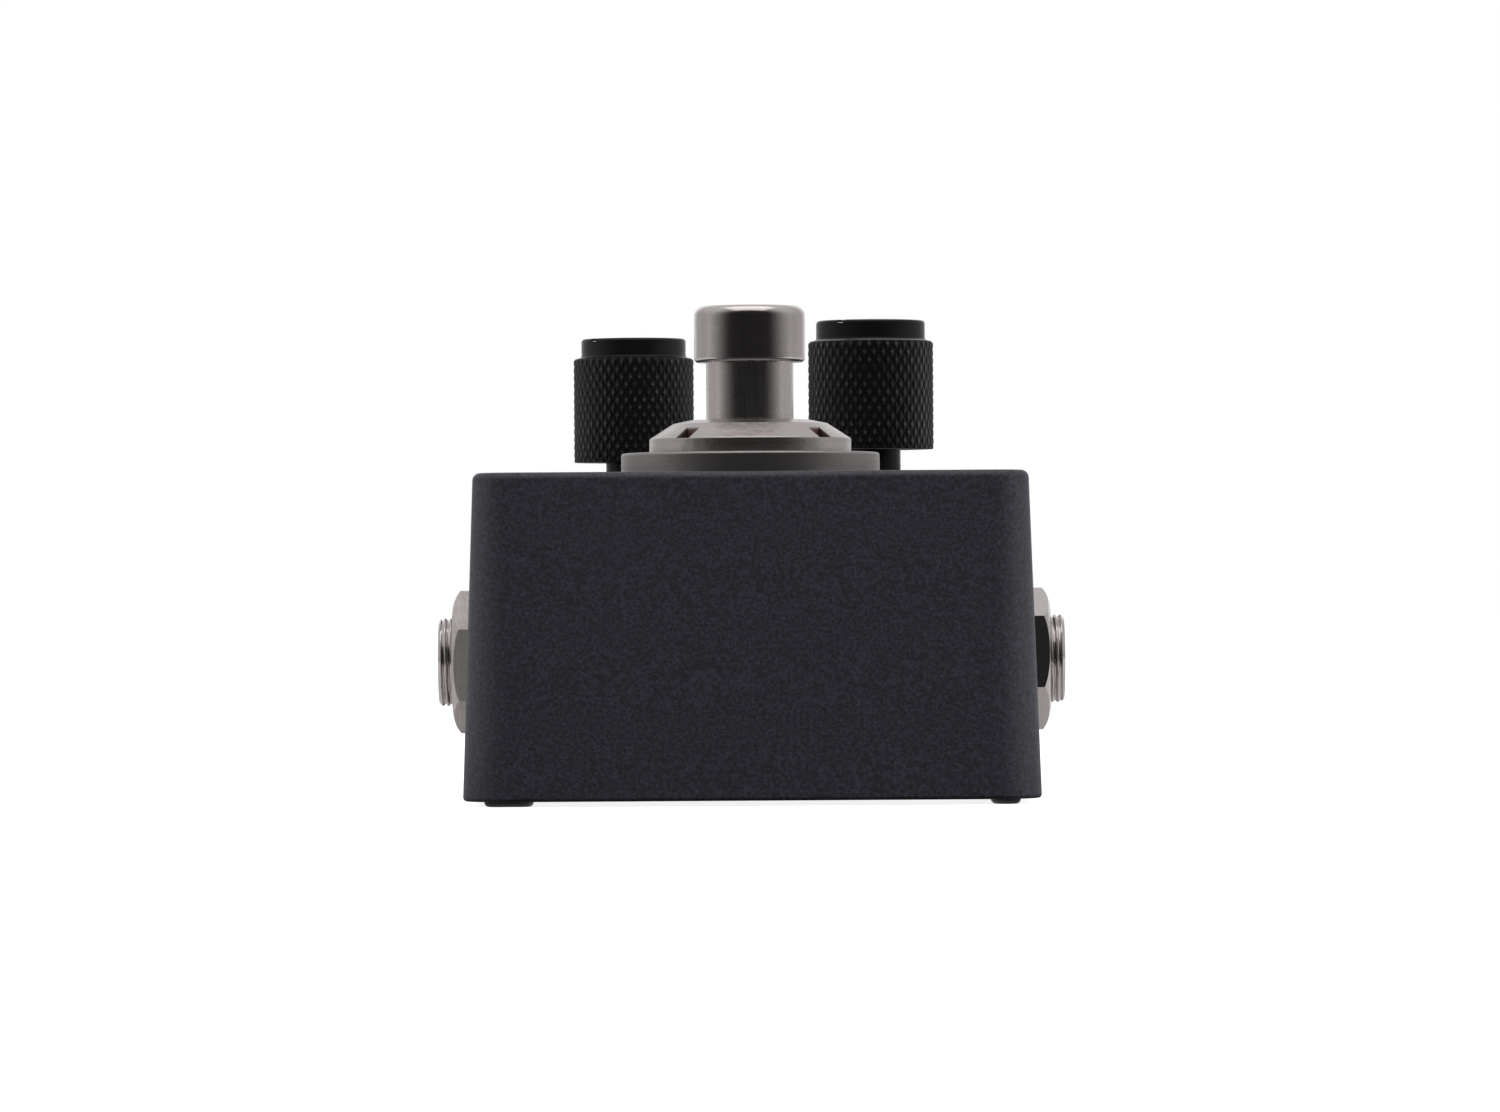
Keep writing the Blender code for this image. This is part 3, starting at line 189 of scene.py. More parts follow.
# Sizes of the patterns in the finishes, in millimetres. The real grain, rings and streaks are finer and are
# drawn as coarse as they need to be to show
FLECK_MM = 0.34
PEEL_MM = 0.45
RING_MM = 0.3
GRAIN_MM = 0.22
STREAK_MM = 0.2
STREAK_STRETCH = (1.0, 1.0, 0.04)
DENT_MM = 1.1
HANDLING_MM = 2.2
LATHE_MM = 0.15
PEEL_DEPTH = 0.03 * MM
GRAIN_DEPTH = 0.006 * MM
LATHE_DEPTH = 0.005 * MM
TIP_HEIGHT = 0.03 * MM

# Ranges of a noise's values over which a finish changes, as inputs of a Map Range node
NOISE_SPREAD = {1: 0.3, 2: 0.7}
PAIR_SPREAD = {1: 0.7, 2: 1.3}
FLECK_SPREAD = {1: 0.42, 2: 0.66}
WEAR_SPREAD = {1: 0.36, 2: 0.68, 3: 0.04}
NICKEL_SHADE = 0.86
PLAIN_SHADE = 0.75
DIRTY_METALLIC = 0.2

# Stage, in metres: each lamp's place and width, the dark card in front of the pedal and the floor's own glow
FRONT_FILL = ((0.0, -1.1, 0.55), 0.9)
LEFT_FILL = ((-1.0, -0.42, 0.4), 0.8)
RIGHT_FILL = ((1.0, -0.42, 0.4), 0.8)
RIGHT_FILL_GAIN = 1.3
TOP_LIGHT = ((0.0, -0.25, 0.9), 0.95)
SENSOR_WIDTH_MM = 36.0
CAMERA_ROLL = math.radians(0.37)
FLOOR_REACH = 4.0
CARD_FADE = 0.015
CARD_STEP = 0.05
CARD_MARGIN = 0.008
CARD_LEVEL = 0.04
FLOOR_GLOW = 0.85
MIRRORED_GLOW = 0.15
UNDER_GLOW = 0.8
UNDER_INSET = 0.004
# The tent's level rises over two ranges of the angle from the front: to the sides, then to the back. Each has
# its first and last angle in radians and its first and last level
TENT_RAMPS = ((0.66, 1.6, 0.018, 0.47), (2.3, 3.0, 0.0, 0.5))
TENT_OVERHEAD = 1.75
TENT_FOLDS = 2.5
TENT_SHADES = (0.88, 1.12)


def linear(hex_colour):
    """An sRGB hex colour as linear RGB."""
    parts = [int(hex_colour[k : k + 2], 16) / 255 for k in (0, 2, 4)]
    return tuple(c / 12.92 if c <= 0.04045 else ((c + 0.055) / 1.055) ** 2.4 for c in parts)


def colour_property(name, description, hex_colour):
    values = {"subtype": "COLOR", "size": 3, "min": 0.0, "max": 1.0, "default": linear(hex_colour)}
    return FloatVectorProperty(name=name, description=description, **values)


def length_property(name, description, default):
    values = {"unit": "LENGTH", "precision": 5, "min": 0.0, "default": default}
    return FloatProperty(name=name, description=description, **values)


def power_property(name, description, watts):
    return FloatProperty(name=name, description=description, unit="POWER", min=0.0, default=watts)


class PedalSizes(bpy.types.PropertyGroup):
    """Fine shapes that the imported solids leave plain."""

    corner_radius: length_property("Corner radius", "Round upright corners of the cast box", 5.0 * MM)
    top_fillet: length_property("Top fillet", "Rounding between the box's walls and its top", 0.75 * MM)
    knurl_starts: IntProperty(name="Knurl starts", description="Grooves each way", default=43, min=12, max=90)
    knurl_angle: FloatProperty(
        name="Knurl angle", description="Slant of the grooves", default=KNURL_ANGLE, subtype="ANGLE"
    )
    knurl_depth: length_property("Knurl depth", "Depth of the knurl's grooves", 0.14 * MM)
    thread_pitch: length_property("Thread pitch", "Distance between the crests of a jack's thread", 0.6 * MM)
    thread_depth: length_property("Thread depth", "Depth of a jack's thread", 0.22 * MM)
    slot_width: length_property("Spanner slot width", "Width of the slots in the footswitch's nut", 1.8 * MM)
    pointer_width: length_property("Pointer width", "Width of the line on top of a knob", 0.8 * MM)


class PedalColours(bpy.types.PropertyGroup):
    """Colours of the finishes."""

    coat: colour_property("Powder coat", "Body of the textured coat", "212026")
    coat_fleck: colour_property("Powder coat fleck", "Paler flecks in the coat", "32313C")
    nickel: colour_property("Nickel plate", "Footswitch and jack metal", "CBC4C2")
    slot_dirt: colour_property("Slot dirt", "Brown grime in the slots of the footswitch's nut", "4A3532")
    knob: colour_property("Black anodise", "Knobs and shafts", "0D0D0E")
    # Paler tips of the knurl: partly wear, partly a painted glint
    knob_crest: colour_property("Knurl crests", "Rubbed tips of the knurl", "4C4C4E")
    pointer: colour_property("Pointer paint", "Line on top of each knob", "E8E6E0")
    rubber: colour_property("Rubber", "Feet", "262525")
    black_oxide: colour_property("Black oxide", "Screws of the base and of the knobs", "262626")
    black_plastic: colour_property("Black plastic", "Housings of switch, jacks and socket", "18181A")
    tin: colour_property("Tinned brass", "Lugs and leaf contacts", "CBBFA0")
    solder_resist: colour_property("Solder resist", "Face of the circuit board", "14542F")
    film_capacitor: colour_property("Film capacitor", "Dipped capacitor", "8E2A22")
    sleeve: colour_property("Capacitor sleeve", "Shrunk sleeve of the capacitor cans", "2B3870")
    lens: colour_property("Lens", "Status light", "B01814")
    floor: colour_property("Floor", "Pale floor under the pedal", "C0C0C0")


class PedalStage(bpy.types.PropertyGroup):
    """Camera and light. The picture is taken as 1500 by 1112 pixels."""

    picture_width: IntProperty(name="Picture width", description="Pixels across", default=1500, min=1)
    picture_height: IntProperty(name="Picture height", description="Pixels down", default=1112, min=1)
    focal_pixels: FloatProperty(name="Focal length", description="In picture pixels", default=7460.0)
    stand_off: length_property("Stand-off", "From the lens to the front wall of the pedal", 750.0 * MM)
    eye_height: length_property("Eye height", "Height of the lens over the floor", 21.75 * MM)
    eye_line: FloatProperty(name="Eye line", description="Picture row at the lens's height", default=590.0)
    middle_column: FloatProperty(name="Middle", description="Picture column of the middle", default=751.0)
    roll: FloatProperty(name="Roll", description="Tilt of the picture", default=CAMERA_ROLL, subtype="ANGLE")
    fill_power: power_property("Front fill", "Soft light from the front", 1.7)
    side_power: power_property("Side fill", "Soft light from each side", 9.8)
    top_power: power_property("Top light", "Soft light from above", 2.5)


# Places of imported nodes
def middle_of(node):
    low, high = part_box(node)
    return (low + high) / 2


def reach_of(node):
    """Half the node's width, which is its radius where it is round about Z."""
    low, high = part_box(node)
    return (high.x - low.x) / 2


def level_reach_of(node):
    """Half the node's height, which is its radius where it is round about a level axis."""
    low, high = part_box(node)
    return (high.z - low.z) / 2


def stations_of(node):
    """Where a node on a jack's axis starts and ends, as distances from the middle of the box."""
    low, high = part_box(node)
    return tuple(sorted((abs(low.x), abs(high.x))))


def foot_of(node, height=0.0):
    """A point at some height on the upright axis through the node's middle."""
    middle = middle_of(node)
    return (middle.x, middle.y, height)


def upright(node, height=0.0):
    """A frame whose Z axis is the upright axis through the node's middle."""
    return Matrix.Translation(foot_of(node, height))


def jack_frame(kind):
    """A frame at the middle of the box whose Z axis runs out along one jack."""
    middle = middle_of(f"{kind}_jack_barrel")
    turn = math.pi / 2 if kind == "input" else -math.pi / 2
    return Matrix.Translation((0.0, middle.y, middle.z)) @ Matrix.Rotation(turn, 4, "Y")


def power_frame():
    """A frame whose Z axis runs rearward through the power socket's pin."""
    pin = middle_of("power_socket_pin")
    return Matrix.Translation((pin.x, 0.0, pin.z)) @ Matrix.Rotation(-math.pi / 2, 4, "X")


# Shapes
def skin(rings, closed=False, place=None, into=None, ridge=None):
    """A mesh over rings of equally many points. Its ends are flat unless the rings close on themselves.
    Where ridge says how a four-sided face folds, the face is split in two along that fold."""
    shape = into or bmesh.new()
    place = place or Matrix.Identity(4)
    loops = [[shape.verts.new(place @ Vector(point)) for point in ring] for ring in rings]
    pairs = list(zip(loops, loops[1:]))
    if closed:
        pairs.append((loops[-1], loops[0]))
    else:
        shape.faces.new(reversed(loops[0]))
        shape.faces.new(loops[-1])
    for row, (lower, upper) in enumerate(pairs):
        for column in range(len(lower)):
            after = (column + 1) % len(lower)
            corners = (lower[column], lower[after], upper[after], upper[column])
            fold = ridge(row, column) if ridge else None
            if fold is None:
                shape.faces.new(corners)
            elif fold:
                shape.faces.new((corners[0], corners[1], corners[2]))
                shape.faces.new((corners[0], corners[2], corners[3]))
            else:
                shape.faces.new((corners[0], corners[1], corners[3]))
                shape.faces.new((corners[1], corners[2], corners[3]))
    return shape


def circle(radius, height, sides, phase=0.0):
    turns = [phase + 2 * math.pi / sides * side for side in range(sides)]
    return [(radius * math.cos(turn), radius * math.sin(turn), height) for turn in turns]


def turned(profile, sides=ROUND_SIDES, closed=False, place=None, into=None):
    """A profile of (radius, height) points turned about the Z axis of its place."""
    return skin([circle(radius, height, sides) for radius, height in profile], closed, place, into)


def rod(radius, low, high, sides=SMALL_SIDES, place=None, into=None):
    return turned([(radius, low), (radius, high)], sides, False, place, into)


def relief_rings(low, high, rows, columns, reach):
    """Rings whose reach from the axis changes from row to row and from column to column."""
    rings = []
    for row in range(rows + 1):
        height = low + (high - low) * row / rows
        ring = []
        for column in range(columns):
            out = reach(row, column, height)
            turn = 2 * math.pi * column / columns
            ring.append((out * math.cos(turn), out * math.sin(turn), height))
        rings.append(ring)
    return rings


def fillet(radius_centre, height_centre, radius, first_deg, last_deg, steps=FILLET_STEPS):
    """Points of a rounded edge in a turned profile, from one angle to another."""
    points = []
    for step in range(steps + 1):
        angle = math.radians(first_deg + (last_deg - first_deg) * step / steps)
        across = radius_centre + radius * math.cos(angle)
        points.append((across, height_centre + radius * math.sin(angle)))
    return points


def bar(low, high, place=None, into=None):
    """A box between two corners."""
    rings = []
    for z in (low[2], high[2]):
        rings.append([(low[0], low[1], z), (high[0], low[1], z), (high[0], high[1], z), (low[0], high[1], z)])
    return skin(rings, place=place, into=into)


def rounded_outline(half_width, half_length, radius, height, steps=CORNER_STEPS):
    """A rectangle with round corners, as points at one height."""
    points = []
    for quarter, (side, end) in enumerate(((1, 1), (-1, 1), (-1, -1), (1, -1))):
        for step in range(steps + 1):
            angle = math.pi / 2 * (quarter + step / steps)
            x = side * (half_width - radius) + radius * math.cos(angle)
            y = end * (half_length - radius) + radius * math.sin(angle)
            points.append((x, y, height))
    return points


def quarter_turns(steps=FILLET_STEPS):
    return [math.pi / 2 * step / steps for step in range(steps + 1)]


# Pieces
def mesh_of(name, shape):
    bmesh.ops.recalc_face_normals(shape, faces=shape.faces)
    mesh = bpy.data.meshes.new(name)
    shape.to_mesh(mesh)
    shape.free()
    return mesh


def keep_modifiers(piece):
    """Puts what a piece's modifiers make into its mesh."""
    graph = bpy.context.evaluated_depsgraph_get()
    made = bpy.data.meshes.new_from_object(piece.evaluated_get(graph))
    if not made.polygons:
        raise RuntimeError(f"{piece.name} has no faces left")
    piece.modifiers.clear()
    piece.data = made


def carve(piece, steps):
    """Applies (operation, shape) Booleans to a piece in order."""
    tools = []
    for operation, shape in steps:
        tool = bpy.data.objects.new("tool", mesh_of("tool", shape))
        bpy.context.scene.collection.objects.link(tool)
        change = piece.modifiers.new("carve", "BOOLEAN")
        change.operation = operation
        change.solver = "EXACT"
        change.object = tool
        tools.append(tool)
    keep_modifiers(piece)
    for tool in tools:
        bpy.data.objects.remove(tool, do_unlink=True)


def break_edges(piece, width, angle):
    """Rounds the edges that turn by more than an angle."""
    edges = piece.modifiers.new("edges", "BEVEL")
    edges.width = width
    edges.segments = 2
    edges.limit_method = "ANGLE"
    edges.angle_limit = angle
    keep_modifiers(piece)


def add_piece(name, shape, finish, node, steps=(), edge=0.0, body=None):
    """Makes one finished piece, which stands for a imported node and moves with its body."""
    piece = bpy.data.objects.new(name, mesh_of(name, shape))
    bpy.context.scene.collection.objects.link(piece)
    if steps:
        carve(piece, steps)
    if edge:
        break_edges(piece, edge, SHARP_ANGLE)
    piece.data.shade_smooth()
    piece.data.set_sharp_from_angle(angle=SHARP_ANGLE)
    # Large faces keep their own direction next to small rounded edges
    level = piece.modifiers.new("level", "WEIGHTED_NORMAL")
    level.keep_sharp = True
    keep_modifiers(piece)
    piece.data.materials.clear()
    piece.data.materials.append(finish)
    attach(piece, body or BODY_OF[node])
    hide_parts(node)
    return piece


# Finishes
def per_metre(millimetres):
    """A pattern's scale from the real size of its features."""
    return 1 / (millimetres * MM)


def opaque(colour, tone=1.0):
    """A colour, darkened or lightened by its tone, with full cover."""
    return (*(tone * part for part in colour), 1.0)


def plug(tree, node, inputs):
    """Sets a node's sockets, by name or number, to values or links them from other sockets."""
    for socket, value in inputs.items():
        if isinstance(value, bpy.types.NodeSocket):
            tree.links.new(value, node.inputs[socket])
        else:
            node.inputs[socket].default_value = value


def add_node(tree, kind, inputs=None, output=0, **settings):
    """Adds a shader node with its settings and links. Gives one of its outputs, or all of them for None."""
    node = tree.nodes.new(f"ShaderNode{kind}")
    for name, value in settings.items():
        setattr(node, name, value)
    plug(tree, node, inputs or {})
    return node.outputs if output is None else node.outputs[output]


def new_finish(name):
    finish = bpy.data.materials.new(name)
    finish.use_nodes = True
    tree = finish.node_tree
    return finish, tree, tree.nodes["Principled BSDF"], add_node(tree, "TexCoord", output="Object")


def distance_and_height(tree, place, point, axis):
    """A point's distance from a turned piece's axis and its height along it, as a vector."""
    from_axis = add_node(tree, "VectorMath", {0: place, 1: point}, operation="SUBTRACT")
    height = add_node(tree, "VectorMath", {0: from_axis, 1: axis}, 1, operation="DOT_PRODUCT")
    along = add_node(tree, "VectorMath", {0: axis, 3: height}, operation="SCALE")
    across = add_node(tree, "VectorMath", {0: from_axis, 1: along}, operation="SUBTRACT")
    distance = add_node(tree, "VectorMath", {0: across}, 1, operation="LENGTH")
    return add_node(tree, "CombineXYZ", {0: distance, 1: height})


def graphite_powder_coat(colours, name):
    """Textured polyester powder coat, baked on a casting: matt, with a fine orange peel and paler flecks."""
    finish, tree, shader, place = new_finish(name)
    speckle = {"Vector": place, "Scale": per_metre(FLECK_MM), "Detail": 3.0, "Roughness": 0.65}
    fleck = add_node(tree, "TexNoise", speckle)
    share = add_node(tree, "MapRange", {0: fleck, **FLECK_SPREAD})
    shades = {0: share, 6: opaque(colours.coat), 7: opaque(colours.coat_fleck)}
    colour = add_node(tree, "Mix", shades, 2, data_type="RGBA")
    peel = add_node(tree, "TexNoise", {"Vector": place, "Scale": per_metre(PEEL_MM), "Detail": 2.0})
    roughness = add_node(tree, "MapRange", {0: peel, **NOISE_SPREAD, 3: COAT_GLOSS[0], 4: COAT_GLOSS[1]})
    normal = add_node(tree, "Bump", {"Height": peel, "Strength": 0.5, "Distance": PEEL_DEPTH})
    plug(tree, shader, {"Base Color": colour, "Roughness": roughness, "Normal": normal, "IOR": 1.5})
    return finish


def satin_nickel_plate(
    colours, name, point, axis, gloss=BRIGHT_GLOSS, tone=1.0, wave=0.0, soiled=None, scuffed_to=None
):
    """Nickel plate over turned brass: warm grey metal, grained like fine satin, with the faint rings that
    the turning tool left. Gloss is its least and most roughness, tone scales the colour of one piece's plate
    as painted shade below 1 and as painted light above 1, wave is how much higher the dents of tumbling stand
    than the grain, soiled gives the share of brown dirt at a distance and height, and up to scuffed_to fine
    upright streaks dull a piece that slides."""
    finish, tree, shader, place = new_finish(name)
    turning = distance_and_height(tree, place, point, axis)
    lathe = {"Vector": turning, "Scale": per_metre(RING_MM), "Detail": 2.0, "Roughness": 0.6}
    rings = add_node(tree, "TexNoise", lathe)
    grain = add_node(tree, "TexNoise", {**lathe, "Vector": place, "Scale": per_metre(GRAIN_MM)})
    both = add_node(tree, "Math", {0: rings, 1: grain}, operation="ADD")
    roughness = add_node(tree, "MapRange", {0: both, **PAIR_SPREAD, 3: gloss[0], 4: gloss[1]})
    if scuffed_to:
        height = add_node(tree, "SeparateXYZ", {0: turning}, 1)
        below = add_node(tree, "Math", {0: height, 1: scuffed_to}, operation="LESS_THAN")
        drawn_out = add_node(tree, "VectorMath", {0: place, 1: STREAK_STRETCH}, operation="MULTIPLY")
        fine = {"Vector": drawn_out, "Scale": per_metre(STREAK_MM), "Detail": 2.0}
        streaks = add_node(tree, "TexNoise", fine)
        scuff = add_node(tree, "MapRange", {0: streaks, **NOISE_SPREAD, 4: SCUFF})
        roughness = add_node(tree, "Math", {0: below, 1: scuff, 2: roughness}, operation="MULTIPLY_ADD")
    shade = add_node(tree, "MapRange", {0: both, **PAIR_SPREAD})
    # A tone below 1 darkens a piece's plate as painted shade, and a tone above 1 lightens it as painted light
    shades = {0: shade, 6: opaque(colours.nickel, tone), 7: opaque(colours.nickel, NICKEL_SHADE * tone)}
    colour = add_node(tree, "Mix", shades, 2, data_type="RGBA")
    metallic = 1.0
    if soiled:
        dirt = soiled(tree, turning)
        shades = {0: dirt, 6: colour, 7: opaque(colours.slot_dirt)}
        colour = add_node(tree, "Mix", shades, 2, data_type="RGBA")
        metallic = add_node(tree, "MapRange", {0: dirt, 3: 1.0, 4: DIRTY_METALLIC})
    if wave:
        waves = add_node(tree, "TexNoise", {"Vector": place, "Scale": per_metre(DENT_MM), "Detail": 1.0})
        both = add_node(tree, "Math", {0: waves, 1: wave, 2: both}, operation="MULTIPLY_ADD")
    normal = add_node(tree, "Bump", {"Height": both, "Strength": 0.15, "Distance": GRAIN_DEPTH})
    plug(tree, shader, {"Base Color": colour, "Roughness": roughness, "Normal": normal, "Metallic": metallic})
    return finish


def black_anodise(colours, name, point, crest_radius, gleam):
    """Black dyed anodise on aluminium: deep black with a low sheen. The tips of the knurl are unevenly paler,
    partly from wear and partly as a painted glint. Gleam is how strongly its surface reflects."""
    finish, tree, shader, place = new_finish(name)
    turning = distance_and_height(tree, place, point, (0.0, 0.0, 1.0))
    distance = add_node(tree, "SeparateXYZ", {0: turning}, 0)
    # The knurl's tips turn paler where the wear noise allows: partly wear, partly a painted glint
    tip = add_node(tree, "MapRange", {0: distance, 1: crest_radius - TIP_HEIGHT, 2: crest_radius})
    touch = {"Vector": place, "Scale": per_metre(HANDLING_MM), "Detail": 3.0, "Roughness": 0.7}
    handling = add_node(tree, "TexNoise", touch)
    wear = add_node(tree, "MapRange", {0: handling, **WEAR_SPREAD})
    wear_and_glint_share = add_node(tree, "Math", {0: tip, 1: wear}, operation="MULTIPLY")
    shades = {0: wear_and_glint_share, 6: opaque(colours.knob), 7: opaque(colours.knob_crest)}
    colour = add_node(tree, "Mix", shades, 2, data_type="RGBA")
    grain = add_node(tree, "TexNoise", {"Vector": turning, "Scale": per_metre(LATHE_MM), "Detail": 2.0})
    sheen = {0: grain, **NOISE_SPREAD, 3: ANODISE_GLOSS[0], 4: ANODISE_GLOSS[1]}
    roughness = add_node(tree, "MapRange", sheen)
    normal = add_node(tree, "Bump", {"Height": grain, "Strength": 0.2, "Distance": LATHE_DEPTH})
    plug(tree, shader, {"Base Color": colour, "Roughness": roughness, "Normal": normal})
    plug(tree, shader, {"IOR": 1.6, "Specular IOR Level": gleam})
    return finish


# Plain-coloured finishes: the colour, the size and depth of the grain in millimetres, the least and the most
# roughness, and other values
PLAIN_FINISHES = {
    # Moulded black rubber: soft dark skin with a low gloss
    "moulded_rubber": ("rubber", 0.5, 0.02, 0.38, 0.52, {"IOR": 1.52}),
    # Moulded black thermoplastic with a fine spark-eroded grain
    "moulded_plastic": ("black_plastic", 0.3, 0.015, 0.42, 0.55, {"IOR": 1.5}),
    # Blackened steel: dark metal with an oily sheen
    "black_oxide_steel": ("black_oxide", 0.35, 0.01, 0.32, 0.45, {"Metallic": 0.7}),
    # Tin plate on stamped brass: pale metal, slightly yellow where the plate is thin
    "tinned_brass": ("tin", 0.6, 0.008, 0.25, 0.4, {"Metallic": 1.0}),
    # Solder resist on a glass-epoxy board: glossy green over the faint weave of the glass
    "green_solder_resist": ("solder_resist", 0.8, 0.01, 0.25, 0.36, {"IOR": 1.55}),
    # Epoxy dip of a film capacitor: thick glossy red with soft waves
    "dipped_epoxy": ("film_capacitor", 1.5, 0.03, 0.2, 0.3, {"IOR": 1.55}),
    # Shrunk vinyl sleeve: smooth blue plastic drawn tight over a can
    "shrunk_sleeve": ("sleeve", 1.2, 0.01, 0.28, 0.38, {"IOR": 1.53}),
    # Tinted clear plastic: a glossy red lens that light passes into
    "tinted_lens": ("lens", 1.0, 0.002, 0.06, 0.1, {"IOR": 1.49, "Transmission Weight": 0.55}),
    # Enamel wiped into a groove: off-white, with a soft sheen
    "pointer_enamel": ("pointer", 0.4, 0.01, 0.35, 0.5, {"IOR": 1.5}),
}


def plain_finish(colours, name):
    """One colour with fine relief and uneven gloss, as moulding or dipping leaves it."""
    colour_name, grain_mm, relief_mm, smooth, rough, values = PLAIN_FINISHES[name]
    colour = getattr(colours, colour_name)
    finish, tree, shader, place = new_finish(name)
    grain = add_node(tree, "TexNoise", {"Vector": place, "Scale": per_metre(grain_mm), "Detail": 3.0})
    shade = add_node(tree, "MapRange", {0: grain, **NOISE_SPREAD})
    shades = {0: shade, 6: opaque(colour, PLAIN_SHADE), 7: opaque(colour)}
    tone = add_node(tree, "Mix", shades, 2, data_type="RGBA")
    roughness = add_node(tree, "MapRange", {0: grain, **NOISE_SPREAD, 3: smooth, 4: rough})
    normal = add_node(tree, "Bump", {"Height": grain, "Strength": 0.4, "Distance": relief_mm * MM})
    plug(tree, shader, {"Base Color": tone, "Roughness": roughness, "Normal": normal, **values})
    return finish


def shared(make, colours, name, *about, **wear):
    """A finish that several pieces share, made the first time that one asks for it."""
    return bpy.data.materials.get(name) or make(colours, name, *about, **wear)


def nickel_for(colours, name, point, axis=(0.0, 0.0, 1.0), **wear):
    return shared(satin_nickel_plate, colours, f"satin_nickel_plate_{name}", point, axis, **wear)


# Cast box and base
def box_outline(sizes, inset, height):
    """The box's plan at a height, drawn in from the drafted outer wall."""
    draft = (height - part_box("enclosure")[0].z - RIM_FILLET) * math.tan(DRAFT)
    return plate_outline(sizes, inset + draft, height)


def plate_outline(sizes, inset, height):
    """The straight-sided plan of the rebate and of the base plate."""
    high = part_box("enclosure")[1]
    radius = max(sizes.corner_radius - inset, LEAST_RADIUS)
    return rounded_outline(high.x - inset, high.y - inset, radius, height)


def box_outside(sizes):
    low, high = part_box("enclosure")
    rings = []
    for angle in quarter_turns():
        height = low.z + RIM_FILLET * (1 - math.cos(angle))
        rings.append(box_outline(sizes, RIM_FILLET * (1 - math.sin(angle)), height))
    for angle in quarter_turns():
        height = high.z - sizes.top_fillet * (1 - math.sin(angle))
        rings.append(box_outline(sizes, sizes.top_fillet * (1 - math.cos(angle)), height))
    return skin(rings)


def box_inside(sizes):
    """The rebate for the base plate and, above its ledge, the cavity with a filleted roof."""
    low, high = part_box("enclosure")
    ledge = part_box("base_plate")[1].z + SEAT_GAP
    rings = [plate_outline(sizes, RIM_WALL, low.z - CUT_PAST), plate_outline(sizes, RIM_WALL, ledge)]
    rings.append(box_outline(sizes, WALL, ledge))
    for angle in quarter_turns():
        height = high.z - WALL - INNER_FILLET * (1 - math.sin(angle))
        rings.append(box_outline(sizes, WALL + INNER_FILLET * (1 - math.cos(angle)), height))
    return skin(rings)


def screw_posts():
    """The cast posts that the base screws and the board screws go up into, and the holes in them."""
    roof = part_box("enclosure")[1].z - WALL / 2
    posts, holes = bmesh.new(), bmesh.new()
    carried = (
        ("base", "base_plate", BASE_POST_RADIUS, BASE_HOLE_RADIUS),
        ("board", "circuit_board", BOARD_POST_RADIUS, BOARD_HOLE_RADIUS),
    )
    for kind, carrier, radius, hole in carried:
        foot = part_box(carrier)[1].z + SEAT_GAP
        for corner in SCREW_CORNERS:
            node = f"{kind}_screw_{corner}"
            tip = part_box(node)[1].z
            rod(radius, foot + SEAT_GAP, roof, SMALL_SIDES, upright(node), posts)
            rod(hole, foot - CUT_PAST, tip + RUN_GAP, SMALL_SIDES, upright(node), holes)
    return posts, holes


def box_drillings():
    """Holes in the roof and the walls, with a flat round seat outside each jack's hole."""
    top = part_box("enclosure")[1].z
    roof = (top - WALL - CUT_PAST, top + CUT_PAST)
    holes = bmesh.new()
    for node in ("footswitch_bushing", "left_pot_shaft", "right_pot_shaft"):
        rod(reach_of(node) + RUN_GAP, *roof, SMALL_SIDES, upright(node), holes)
    rod(reach_of("status_light_spacer") + RUN_GAP, *roof, SMALL_SIDES, upright("status_light_bezel"), holes)
    for kind in ("output", "input"):
        seat = stations_of(f"{kind}_jack_washer")[0] - SEAT_GAP
        radius = level_reach_of(f"{kind}_jack_barrel") + RUN_GAP
        profile = [(radius, seat - 2 * WALL), (radius, seat)]
        profile += [(JACK_SPOT_FACE_RADIUS, seat), (JACK_SPOT_FACE_RADIUS, seat + WALL)]
        turned(profile, ROUND_SIDES, place=jack_frame(kind), into=holes)
    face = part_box("power_socket_housing")[1].y
    rod(POWER_HOLE_RADIUS, face - CUT_PAST, face + 3 * WALL, SMALL_SIDES, power_frame(), holes)
    return holes


class PEDAL_OT_cast_box(bpy.types.Operator):
    """Builds the powder-coated casting with its posts, holes and jack seats"""

    bl_idname = "pedal.cast_box"
    bl_label = "Cast box"

    def execute(self, context):
        sizes = context.scene.pedal_sizes
        coat = shared(graphite_powder_coat, context.scene.pedal_colours, "graphite_powder_coat")
        posts, holes = screw_posts()
        steps = [("DIFFERENCE", box_inside(sizes)), ("UNION", posts), ("DIFFERENCE", holes)]
        steps.append(("DIFFERENCE", box_drillings()))
        add_piece("coated_box", box_outside(sizes), coat, "enclosure", steps)
        return {"FINISHED"}


def countersunk(head_radius, shank_radius, length, past, place, into=None):
    """A countersunk screw with its flat head at z = 0 and its tip up, or the hole for one."""
    profile = [(head_radius, 0.0), (shank_radius, HEAD_DEPTH), (shank_radius, length)]
    if past:
        profile.insert(0, (head_radius, -past))
    return turned(profile, SMALL_SIDES, place=place, into=into)


def cross_recess(radius, depth, place):
    """A tapered cross-head recess that opens at z = 0 and goes up into the head."""
    reach, half = radius * DRIVE_REACH, radius * DRIVE_HALF_WIDTH
    quarter = [(reach, -half), (reach, half), (half, half)]
    points = [Matrix.Rotation(math.pi / 2 * k, 2) @ Vector(point) for k in range(4) for point in quarter]
    mouth = [(x, y, -CUT_PAST) for x, y in points]
    floor = [(x * DRIVE_TAPER, y * DRIVE_TAPER, depth) for x, y in points]
    return skin([mouth, [(x, y, 0.0) for x, y in points], floor], place=place)


